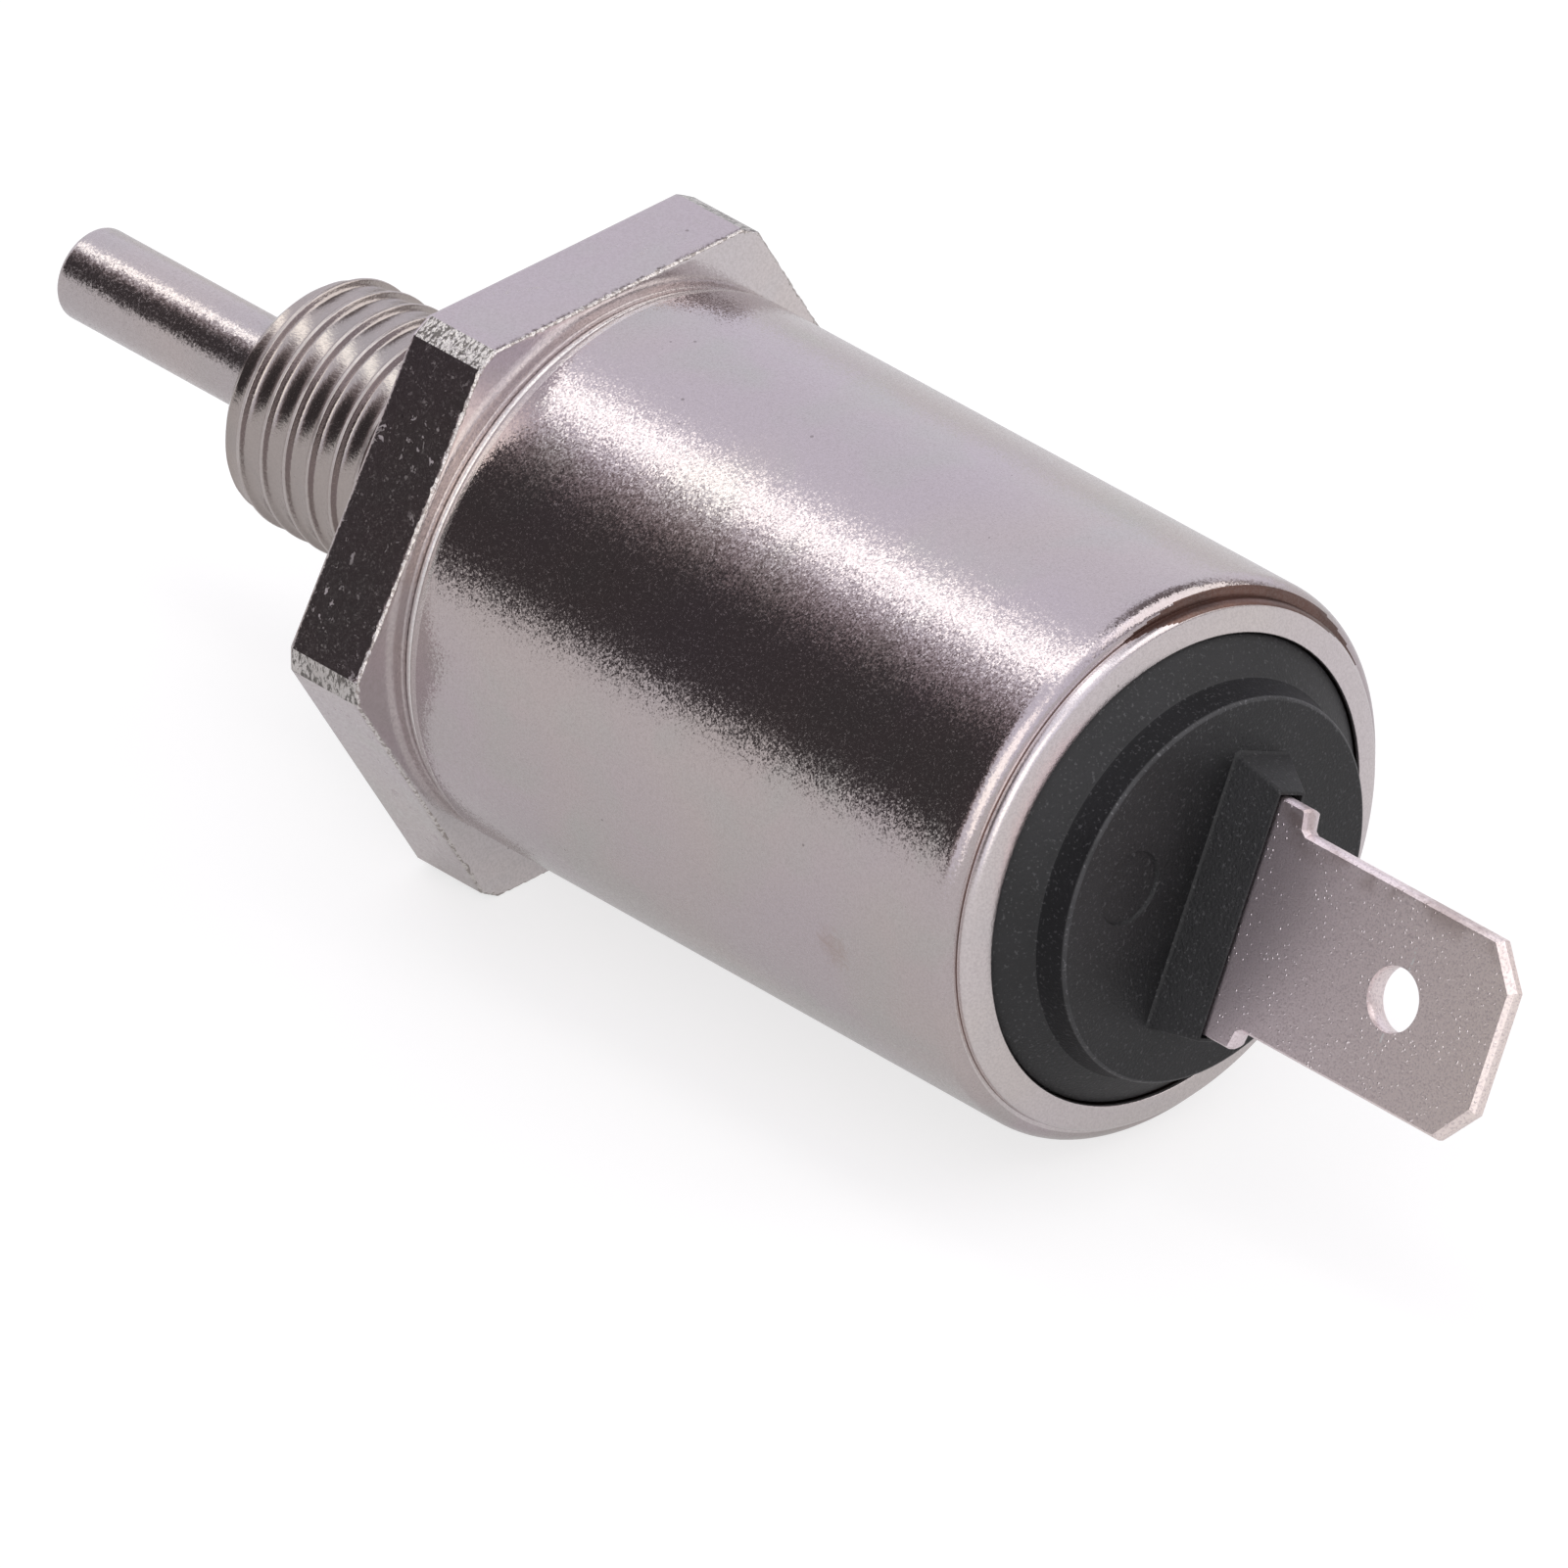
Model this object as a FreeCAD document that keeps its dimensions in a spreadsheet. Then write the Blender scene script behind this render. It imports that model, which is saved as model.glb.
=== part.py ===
import FreeCAD, Part
import math
import os

import Sketcher

# Fuel shutoff solenoid. The thread's axis is X, with the pin end at -X, the terminal at +X and +Z up.
# The origin is the centre of the hexagon's front face, which seats on the mating part.

Vector = FreeCAD.Vector
DOC = FreeCAD.newDocument("fuel_shutoff_solenoid")

# Driving dimensions in millimetres and degrees
DIMENSIONS = {
    # Valve body
    "thread_radius": 4.0,
    "thread_length": 10.6,
    "thread_lead_chamfer": 0.55,
    "hex_across_flats": 19.0,
    "hex_corner_trim": 0.22,
    "hex_thickness": 2.95,
    "hex_edge_break": 0.12,
    "spigot_radius": 5.0,
    "stake_lip": 0.6,
    "stake_thickness": 0.8,
    "stop_seat_station": 1.5,
    # Valve pin and plunger
    "pin_radius": 1.5,
    "pin_end_round": 0.25,
    "pin_proud_length": 9.7,
    "pin_bore_clearance": 0.06,
    "pin_press_depth": 2.5,
    "plunger_radius": 2.75,
    "plunger_length": 10.0,
    "plunger_chamfer": 0.3,
    "plunger_bore_clearance": 0.05,
    "relief_slot_width": 0.6,
    "relief_slot_depth": 0.5,
    "stroke_length": 3.0,
    "stop_gap": 0.05,
    "stop_washer_thickness": 0.6,
    "stop_washer_side_gap": 0.2,
    # Return spring, whose thin wire is drawn with six sides
    "spring_wire_radius": 0.15,
    "spring_bore_radius": 1.65,
    "spring_bore_depth": 7.0,
    "spring_side_gap": 0.08,
    "spring_pitch": 1.35,
    # Pole piece, guide tube and rear flux washer
    "shim_thickness": 0.15,
    "shim_side_gap": 0.15,
    "tube_wall": 0.4,
    "tube_seat_clearance": 0.02,
    "tube_on_pole_length": 2.4,
    "pole_length": 6.5,
    "pole_rivet_radius": 2.0,
    "pole_head_lip": 0.6,
    "pole_head_height": 0.45,
    "flux_washer_thickness": 1.6,
    # Can
    "can_radius": 9.0,
    "can_wall": 0.9,
    "can_front_round": 0.75,
    "can_shoulder_chamfer": 0.3,
    "can_slip_clearance": 0.04,
    "spigot_hole_clearance": 0.02,
    "crimp_shoulder_setback": 1.1,
    "crimp_step": 0.55,
    "crimp_valley_depth": 0.1,
    "crimp_valley_width": 0.25,
    "crimp_width": 1.5,
    "crimp_thickness": 0.55,
    "crimp_lip_chamfer": 0.15,
    # Coil
    "insulator_thickness": 0.5,
    "bobbin_bore_clearance": 0.05,
    "bobbin_wall": 0.65,
    "bobbin_side_gap": 0.2,
    "bobbin_front_flange": 1.7,
    "bobbin_rear_flange": 0.8,
    "winding_margin": 0.8,
    "tape_thickness": 0.2,
    "seal_ring_section": 1.0,
    "seal_ring_gap": 0.05,
    "spring_washer_thickness": 0.3,
    "spring_washer_height": 0.6,
    "spring_washer_width": 1.6,
    # Cap and seals
    "disc_thickness": 0.5,
    "gasket_thickness": 0.6,
    "gasket_width": 1.3,
    "cap_rim_thickness": 1.5,
    "cap_rim_width": 1.55,
    "cap_ceiling_height": 1.05,
    "cap_seam_gap": 0.05,
    "cap_cone_rise": 0.45,
    "cap_cone_height": 0.75,
    "cap_cone_width": 1.1,
    "cap_disc_height": 0.95,
    "cap_disc_draft": 0.2,
    "cap_disc_edge": 0.1,
    "wedge_height": 2.0,
    "wedge_base_width": 8.74,
    "wedge_base_depth": 2.42,
    "wedge_end_wall": 0.12,
    "wedge_front_wall": 0.1,
    "wedge_back_wall": 0.15,
    "wedge_round": 0.1,
    "mark_radius": 1.14,
    "mark_offset": 3.84,
    "mark_depth": 0.06,
    # Terminal, which leans from the vertical by tab_lean
    "tab_lean": -24.7,
    "tab_thickness": 0.8,
    "tab_front_offset": 0.9,
    "tab_width": 6.3,
    "tab_shoulder_width": 7.6,
    "tab_shoulder_height": 1.0,
    "tab_shoulder_slope": 0.28,
    "tab_length": 10.4,
    "tab_tip_chamfer_axial": 1.07,
    "tab_tip_chamfer_side": 1.23,
    "tab_hole_radius": 0.95,
    "tab_hole_from_tip": 4.15,
    "tab_edge_break": 0.08,
    "tab_stem_width": 4.0,
    "tab_slot_clearance": 0.05,
    "tab_seat_depth": 0.3,
    "tab_stem_gap": 0.45,
    "tab_lead_hole_from_end": 0.75,
    # Leads
    "lead_radius": 0.3,
    "lead_offset": 5.9,
    "lead_bend_radius": 0.9,
    "lead_end_proud": 0.3,
    "sleeve_wall": 0.25,
    "sleeve_hole_clearance": 0.15,
    "ground_lead_bend_radius": 0.6,
    "ground_lead_foot": 0.8,
}


class Length:
    """A size that keeps its spreadsheet expression and its present value together."""

    def __init__(self, value, text):
        self.value = value
        self.text = text

    def _join(self, other, sign, swap=False):
        if not isinstance(other, Length):
            other = Length(float(other), repr(float(other)))
        left, right = (other, self) if swap else (self, other)
        results = {
            "+": left.value + right.value,
            "-": left.value - right.value,
            "*": left.value * right.value,
        }
        return Length(results[sign], f"({left.text} {sign} {right.text})")

    def __add__(self, other):
        return self._join(other, "+")

    def __radd__(self, other):
        return self._join(other, "+", swap=True)

    def __sub__(self, other):
        return self._join(other, "-")

    def __rsub__(self, other):
        return self._join(other, "-", swap=True)

    def __mul__(self, other):
        return self._join(other, "*")

    def __rmul__(self, other):
        return self._join(other, "*", swap=True)

    def __neg__(self):
        return Length(0.0, "0") - self

    def __float__(self):
        return self.value


def make_sheet(values):
    """Write the driving dimensions to a spreadsheet and return a Length for each alias."""
    sheet = DOC.addObject("Spreadsheet::Sheet", "Sizes")
    lengths = {}
    for row, (name, value) in enumerate(values.items(), start=1):
        sheet.set(f"A{row}", name)
        sheet.set(f"B{row}", str(value))
        sheet.setAlias(f"B{row}", name)
        lengths[name] = Length(float(value), f"Sizes.{name}")
    DOC.recompute()
    return lengths


L = make_sheet(DIMENSIONS)
ZERO = Length(0.0, "0")
HALF = 0.5

# Radii that one piece takes from another
HEX_CORNER_R = L["hex_across_flats"] * (1 / math.sqrt(3)) - L["hex_corner_trim"]
PIN_BORE_R = L["pin_radius"] + L["pin_bore_clearance"]
TUBE_INNER_R = L["plunger_radius"] + L["plunger_bore_clearance"]
TUBE_OUTER_R = TUBE_INNER_R + L["tube_wall"]
TUBE_SEAT_R = TUBE_OUTER_R + L["tube_seat_clearance"]
POLE_R = TUBE_INNER_R - L["tube_seat_clearance"]
POLE_HEAD_R = L["pole_rivet_radius"] + L["pole_head_lip"]
CAN_INNER_R = L["can_radius"] - L["can_wall"]
CAN_SLIP_R = CAN_INNER_R - L["can_slip_clearance"]
CAN_HOLE_R = L["spigot_radius"] + L["spigot_hole_clearance"]
CRIMP_OUTER_R = L["can_radius"] - L["crimp_step"]
CRIMP_INNER_R = L["can_radius"] - L["crimp_width"]
BOBBIN_BORE_R = TUBE_OUTER_R + L["bobbin_bore_clearance"]
BOBBIN_CORE_R = BOBBIN_BORE_R + L["bobbin_wall"]
BOBBIN_FLANGE_R = CAN_INNER_R - L["bobbin_side_gap"]
WINDING_R = BOBBIN_FLANGE_R - L["winding_margin"]
SLEEVE_R = L["lead_radius"] + L["sleeve_wall"]
SLEEVE_HOLE_R = SLEEVE_R + L["sleeve_hole_clearance"]
CAP_NECK_R = CRIMP_INNER_R - L["cap_seam_gap"]
CAP_LEDGE_R = CAP_NECK_R - L["cap_cone_width"]
CAP_DISC_R = CAP_LEDGE_R - L["cap_disc_draft"]

# Stations along X, from the pin's tip to the terminal's tip
PIN_TIP_X = -(L["thread_length"] + L["pin_proud_length"])
STOP_SEAT_X = L["stop_seat_station"]
CAN_FRONT_X = L["hex_thickness"]
STAKE_X = CAN_FRONT_X + L["can_wall"]
SPIGOT_END_X = STAKE_X + L["stake_thickness"]
BOBBIN_FRONT_X = SPIGOT_END_X + L["insulator_thickness"]
TUBE_FRONT_X = STOP_SEAT_X + L["stop_washer_thickness"]
PLUNGER_FRONT_X = TUBE_FRONT_X + L["stop_gap"]
PLUNGER_REAR_X = PLUNGER_FRONT_X + L["plunger_length"]
PIN_END_X = PLUNGER_FRONT_X + L["pin_press_depth"]
SPRING_FRONT_X = PLUNGER_REAR_X - L["spring_bore_depth"]
SHIM_FRONT_X = PLUNGER_REAR_X + L["stroke_length"] + L["stop_gap"]
POLE_FRONT_X = SHIM_FRONT_X + L["shim_thickness"]
TUBE_REAR_X = POLE_FRONT_X + L["tube_on_pole_length"]
FLUX_FRONT_X = POLE_FRONT_X + L["pole_length"]
FLUX_REAR_X = FLUX_FRONT_X + L["flux_washer_thickness"]
BOBBIN_REAR_X = FLUX_FRONT_X - L["spring_washer_height"]
WINDING_FRONT_X = BOBBIN_FRONT_X + L["bobbin_front_flange"]
WINDING_REAR_X = BOBBIN_REAR_X - L["bobbin_rear_flange"]
DISC_REAR_X = FLUX_REAR_X + L["disc_thickness"]
CAP_RIM_FRONT_X = DISC_REAR_X + L["gasket_thickness"]
CAP_RIM_REAR_X = CAP_RIM_FRONT_X + L["cap_rim_thickness"]
CAP_CEILING_X = CAP_RIM_FRONT_X + L["cap_ceiling_height"]
CRIMP_X = CAP_RIM_REAR_X + L["crimp_thickness"]
CAN_SHOULDER_X = CRIMP_X - L["crimp_shoulder_setback"]
CAP_CONE_X = CAP_RIM_REAR_X + L["cap_cone_rise"]
CAP_LEDGE_X = CAP_CONE_X + L["cap_cone_height"]
CAP_DISC_X = CAP_LEDGE_X + L["cap_disc_height"]
WEDGE_TOP_X = CAP_DISC_X + L["wedge_height"]
TAB_SEAT_X = WEDGE_TOP_X - L["tab_seat_depth"]
TAB_SHOULDER_X = WEDGE_TOP_X + L["tab_shoulder_height"]
TAB_TIP_X = WEDGE_TOP_X + L["tab_length"]
TAB_STEM_X = DISC_REAR_X + L["tab_stem_gap"]
TAB_LEAD_HOLE_X = TAB_STEM_X + L["tab_lead_hole_from_end"]


def new_body(label):
    body = DOC.addObject("PartDesign::Body", label)
    body.Label = label
    return body


def origin_feature(body, role):
    return next(item for item in body.Origin.OriginFeatures if item.Role == role)


def new_sketch(body, name, plane, offset=ZERO):
    """A sketch on one of the body's own planes, moved along the plane's normal by offset."""
    sketch = body.newObject("Sketcher::SketchObject", name)
    sketch.AttachmentSupport = [(origin_feature(body, plane), "")]
    sketch.MapMode = "FlatFace"
    sketch.AttachmentOffset = FreeCAD.Placement(Vector(0, 0, float(offset)), FreeCAD.Rotation())
    sketch.setExpression("AttachmentOffset.Base.z", offset.text)
    return sketch


def fix_distance(sketch, kind, geometry, vertex, length):
    """Tie one coordinate of a vertex to a size, measured from the sketch's origin."""
    constraint = Sketcher.Constraint(kind, -1, 1, geometry, vertex, float(length))
    index = sketch.addConstraint(constraint)
    sketch.setExpression(f"Constraints[{index}]", length.text)


def draw_outline(sketch, points):
    """A closed outline of straight edges through (across, up) pairs of Lengths."""
    first = sketch.GeometryCount
    count = len(points)
    for index, (across, up) in enumerate(points):
        next_across, next_up = points[(index + 1) % count]
        start = Vector(float(across), float(up), 0)
        end = Vector(float(next_across), float(next_up), 0)
        sketch.addGeometry(Part.LineSegment(start, end))
    for index in range(count):
        after = first + (index + 1) % count
        sketch.addConstraint(Sketcher.Constraint("Coincident", first + index, 2, after, 1))
    for index, (across, up) in enumerate(points):
        fix_distance(sketch, "DistanceX", first + index, 1, across)
        fix_distance(sketch, "DistanceY", first + index, 1, up)


def draw_rectangle(sketch, across_range, up_range):
    left, right = across_range
    low, high = up_range
    draw_outline(sketch, [(left, low), (right, low), (right, high), (left, high)])


def draw_circle(sketch, radius, across=ZERO, up=ZERO):
    centre = Vector(float(across), float(up), 0)
    index = sketch.addGeometry(Part.Circle(centre, Vector(0, 0, 1), float(radius)))
    constraint = sketch.addConstraint(Sketcher.Constraint("Radius", index, float(radius)))
    sketch.setExpression(f"Constraints[{constraint}]", radius.text)
    fix_distance(sketch, "DistanceX", index, 3, across)
    fix_distance(sketch, "DistanceY", index, 3, up)


def add_revolution(body, name, points):
    """Turn an outline of (station, radius) pairs round the X axis."""
    sketch = new_sketch(body, f"{name}_profile", "XY_Plane")
    draw_outline(sketch, points)
    turned = body.newObject("PartDesign::Revolution", name)
    turned.Profile = sketch
    turned.ReferenceAxis = (sketch, ["H_Axis"])
    turned.Angle = 360
    DOC.recompute()
    return turned


def add_extrusion(body, kind, name, sketch, length, reverse=False):
    """A Pad or Pocket of a sketch, with a test that it changed the body's volume."""
    before = body.Shape.Volume if body.Shape and not body.Shape.isNull() else 0.0
    feature = body.newObject(f"PartDesign::{kind}", name)
    feature.Profile = sketch
    feature.Length = float(length)
    feature.setExpression("Length", length.text)
    feature.Reversed = reverse
    DOC.recompute()
    if math.isclose(feature.Shape.Volume, before, rel_tol=1e-7):
        raise RuntimeError(f"{name} changes nothing")
    return feature


def cut_hole(body, name, radius, across, up, start, depth):
    """A round hole along +X, with its centre at (across, up), from a station to a depth."""
    sketch = new_sketch(body, f"{name}_circle", "YZ_Plane", start)
    draw_circle(sketch, radius, across, up)
    return add_extrusion(body, "Pocket", name, sketch, depth, reverse=True)


def ring_edges(shape, rings):
    """Names of the full circles round the X axis at the given (station, radius) pairs."""
    names = []
    for index, edge in enumerate(shape.Edges, start=1):
        curve = edge.Curve
        if not isinstance(curve, Part.Circle):
            continue
        for station, radius in rings:
            same_place = abs(curve.Center.x - float(station)) < 1e-5
            if same_place and abs(curve.Radius - float(radius)) < 1e-5:
                names.append(f"Edge{index}")
    if len(names) < len(rings):
        raise RuntimeError(f"found {len(names)} of {len(rings)} rings")
    return names


def dress_edges(body, kind, name, feature, edge_names, length):
    """A Fillet or Chamfer of a feature's edges, bound to one size."""
    dressed = body.newObject(f"PartDesign::{kind}", name)
    dressed.Base = (feature, edge_names)
    sized_by = "Radius" if kind == "Fillet" else "Size"
    setattr(dressed, sized_by, float(length))
    dressed.setExpression(sized_by, length.text)
    DOC.recompute()
    return dressed


def lean(body):
    """Turn a sub-part about X so that its width runs along the terminal's width."""
    body.Placement = FreeCAD.Placement(Vector(), FreeCAD.Rotation(Vector(1, 0, 0), float(L["tab_lean"])))
    body.setExpression("Placement.Rotation.Angle", f"{L['tab_lean'].text} * 1deg")


def make_ring(label, start, end, inner, outer):
    """A plain ring or disc between two stations."""
    body = new_body(label)
    corners = [(start, inner), (start, outer), (end, outer), (end, inner)]
    return body, add_revolution(body, f"{label}_turned", corners)


def make_hex_body():
    """Turned body: threaded boss at its major diameter, hexagon and staked spigot, bored through."""
    body = new_body("hex_body")
    thread_r = L["thread_radius"]
    lead = L["thread_lead_chamfer"]
    corner_r = HEX_CORNER_R
    edge = L["hex_edge_break"]
    thread_end = -L["thread_length"]
    stake_r = L["spigot_radius"] + L["stake_lip"]
    add_revolution(body, "turned_body", [
        (thread_end, PIN_BORE_R),
        (thread_end, thread_r - lead),
        (thread_end + lead, thread_r),
        (ZERO, thread_r),
        (ZERO, corner_r - edge),
        (ZERO + edge, corner_r),
        (CAN_FRONT_X, corner_r),
        (CAN_FRONT_X, L["spigot_radius"]),
        (STAKE_X, L["spigot_radius"]),
        (STAKE_X, stake_r),
        (SPIGOT_END_X, stake_r),
        (SPIGOT_END_X, TUBE_SEAT_R),
        (STOP_SEAT_X, TUBE_SEAT_R),
        (STOP_SEAT_X, PIN_BORE_R),
    ])
    flats = new_sketch(body, "hexagon", "YZ_Plane")
    across_flats = L["hex_across_flats"]
    corner_factor = 1 / math.sqrt(3)
    corners = []
    for step in range(6):
        angle = math.radians(60 * step)
        across = across_flats * (corner_factor * math.cos(angle))
        up = across_flats * (corner_factor * math.sin(angle))
        corners.append((across, up))
    draw_outline(flats, corners)
    draw_circle(flats, across_flats)
    add_extrusion(body, "Pocket", "hexagon_flats", flats, L["hex_thickness"], reverse=True)
    return body


def make_shell_can():
    """Drawn can: closed front with a hole for the spigot, and a rear rim rolled in over the cap."""
    body = new_body("shell_can")
    valley_r = CRIMP_OUTER_R - L["crimp_valley_depth"]
    rise_x = CAN_SHOULDER_X + L["crimp_valley_width"]
    turned = add_revolution(body, "drawn_can", [
        (CAN_FRONT_X, CAN_HOLE_R),
        (CAN_FRONT_X, L["can_radius"]),
        (CAN_SHOULDER_X, L["can_radius"]),
        (CAN_SHOULDER_X, valley_r),
        (rise_x, valley_r),
        (rise_x, CRIMP_OUTER_R),
        (CRIMP_X, CRIMP_OUTER_R),
        (CRIMP_X, CRIMP_INNER_R),
        (CAP_RIM_REAR_X, CRIMP_INNER_R),
        (CAP_RIM_REAR_X, CAN_INNER_R),
        (STAKE_X, CAN_INNER_R),
        (STAKE_X, CAN_HOLE_R),
    ])
    front = ring_edges(turned.Shape, [(CAN_FRONT_X, L["can_radius"])])
    rounded = dress_edges(body, "Fillet", "front_corner", turned, front, L["can_front_round"])
    shoulder = ring_edges(rounded.Shape, [(CAN_SHOULDER_X, L["can_radius"])])
    broken = dress_edges(body, "Chamfer", "rear_shoulder", rounded, shoulder, L["can_shoulder_chamfer"])
    lip = ring_edges(broken.Shape, [(CRIMP_X, CRIMP_OUTER_R)])
    dress_edges(body, "Chamfer", "crimp_lip", broken, lip, L["crimp_lip_chamfer"])
    return body


def make_valve_pin():
    body = new_body("valve_pin")
    turned = add_revolution(body, "pin_bar", [
        (PIN_TIP_X, ZERO),
        (PIN_TIP_X, L["pin_radius"]),
        (PIN_END_X, L["pin_radius"]),
        (PIN_END_X, ZERO),
    ])
    tip = ring_edges(turned.Shape, [(PIN_TIP_X, L["pin_radius"])])
    dress_edges(body, "Fillet", "pin_tip", turned, tip, L["pin_end_round"])
    return body


def make_plunger():
    """Armature with a press bore for the pin, a spring bore and two relief slots."""
    body = new_body("plunger")
    turned = add_revolution(body, "plunger_bar", [
        (PLUNGER_FRONT_X, L["pin_radius"]),
        (PLUNGER_FRONT_X, L["plunger_radius"]),
        (PLUNGER_REAR_X, L["plunger_radius"]),
        (PLUNGER_REAR_X, L["spring_bore_radius"]),
        (SPRING_FRONT_X, L["spring_bore_radius"]),
        (SPRING_FRONT_X, ZERO),
        (PIN_END_X, ZERO),
        (PIN_END_X, L["pin_radius"]),
    ])
    ends = [(PLUNGER_FRONT_X, L["plunger_radius"]), (PLUNGER_REAR_X, L["plunger_radius"])]
    rings = ring_edges(turned.Shape, ends)
    dress_edges(body, "Chamfer", "plunger_ends", turned, rings, L["plunger_chamfer"])
    slot = new_sketch(body, "relief_outline", "YZ_Plane", PLUNGER_FRONT_X)
    half_width = L["relief_slot_width"] * HALF
    floor = L["plunger_radius"] - L["relief_slot_depth"]
    draw_rectangle(slot, (-half_width, half_width), (floor, L["plunger_radius"] + L["relief_slot_depth"]))
    cut = add_extrusion(body, "Pocket", "relief_slot", slot, L["plunger_length"], reverse=True)
    pattern = body.newObject("PartDesign::PolarPattern", "relief_slots")
    pattern.Originals = [cut]
    pattern.Axis = (origin_feature(body, "X_Axis"), [""])
    pattern.Angle = 360
    pattern.Occurrences = 2
    body.Tip = pattern
    DOC.recompute()
    return body


def make_return_spring():
    """Wire swept along a helix, from the bottom of the plunger's bore to the pole face."""
    coil_r = L["spring_bore_radius"] - L["spring_side_gap"] - L["spring_wire_radius"]
    start = SPRING_FRONT_X + L["spring_wire_radius"]
    length = POLE_FRONT_X - L["spring_wire_radius"] - start
    helix = DOC.addObject("Part::Helix", "spring_path")
    helix.setExpression("Pitch", L["spring_pitch"].text)
    helix.setExpression("Height", length.text)
    helix.setExpression("Radius", coil_r.text)
    wire = DOC.addObject("Part::RegularPolygon", "spring_wire")
    wire.Polygon = 6
    wire.setExpression("Circumradius", L["spring_wire_radius"].text)
    wire.Placement = FreeCAD.Placement(Vector(), FreeCAD.Rotation(Vector(1, 0, 0), 90))
    wire.setExpression("Placement.Base.x", coil_r.text)
    DOC.recompute()
    spring = DOC.addObject("Part::Sweep", "return_spring")
    spring.Sections = [wire]
    spring.Spine = (helix, ["Edge1"])
    spring.Solid = True
    spring.Frenet = True
    spring.Placement = FreeCAD.Placement(Vector(float(start), 0, 0), FreeCAD.Rotation(Vector(0, 1, 0), 90))
    spring.setExpression("Placement.Base.x", start.text)
    DOC.recompute()
    return spring


def make_pole_piece():
    """Fixed core, riveted over behind the rear flux washer."""
    body = new_body("pole_piece")
    head_x = FLUX_REAR_X + L["pole_head_height"]
    add_revolution(body, "pole_bar", [
        (POLE_FRONT_X, ZERO),
        (POLE_FRONT_X, POLE_R),
        (FLUX_FRONT_X, POLE_R),
        (FLUX_FRONT_X, L["pole_rivet_radius"]),
        (FLUX_REAR_X, L["pole_rivet_radius"]),
        (FLUX_REAR_X, POLE_HEAD_R),
        (head_x, POLE_HEAD_R),
        (head_x, ZERO),
    ])
    return body


def make_bobbin():
    """Moulded spool with a counterbore for the seal ring and holes for both leads."""
    body = new_body("bobbin")
    seat_x = BOBBIN_FRONT_X + L["seal_ring_section"] + L["seal_ring_gap"]
    seat_r = TUBE_OUTER_R + L["seal_ring_section"] + L["seal_ring_gap"]
    add_revolution(body, "spool", [
        (BOBBIN_FRONT_X, seat_r),
        (BOBBIN_FRONT_X, BOBBIN_FLANGE_R),
        (WINDING_FRONT_X, BOBBIN_FLANGE_R),
        (WINDING_FRONT_X, BOBBIN_CORE_R),
        (WINDING_REAR_X, BOBBIN_CORE_R),
        (WINDING_REAR_X, BOBBIN_FLANGE_R),
        (BOBBIN_REAR_X, BOBBIN_FLANGE_R),
        (BOBBIN_REAR_X, BOBBIN_BORE_R),
        (seat_x, BOBBIN_BORE_R),
        (seat_x, seat_r),
    ])
    flange = L["bobbin_rear_flange"]
    offset = L["lead_offset"]
    cut_hole(body, "start_lead_hole", SLEEVE_HOLE_R, -offset, ZERO, WINDING_REAR_X, flange)
    cut_hole(body, "ground_lead_hole", SLEEVE_R, offset, ZERO, WINDING_REAR_X, flange)
    lean(body)
    return body


def make_spring_washer():
    """Coned washer that presses the bobbin forward from the rear flux washer."""
    body = new_body("spring_washer")
    inner = BOBBIN_BORE_R
    outer = inner + L["spring_washer_width"]
    thickness = L["spring_washer_thickness"]
    add_revolution(body, "coned_ring", [
        (BOBBIN_REAR_X, inner),
        (BOBBIN_REAR_X + thickness, inner),
        (FLUX_FRONT_X, outer),
        (FLUX_FRONT_X - thickness, outer),
    ])
    return body


def make_rear_flux_washer():
    body, _ = make_ring("rear_flux_washer", FLUX_FRONT_X, FLUX_REAR_X, L["pole_rivet_radius"], CAN_SLIP_R)
    thickness = L["flux_washer_thickness"]
    cut_hole(body, "lead_passage", SLEEVE_HOLE_R, -L["lead_offset"], ZERO, FLUX_FRONT_X, thickness)
    lean(body)
    return body


def make_insulating_disc():
    inner = POLE_HEAD_R + L["shim_side_gap"]
    body, _ = make_ring("insulating_disc", FLUX_REAR_X, DISC_REAR_X, inner, CAN_SLIP_R)
    thickness = L["disc_thickness"]
    cut_hole(body, "sleeve_hole", SLEEVE_HOLE_R, -L["lead_offset"], ZERO, FLUX_REAR_X, thickness)
    lean(body)
    return body


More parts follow.
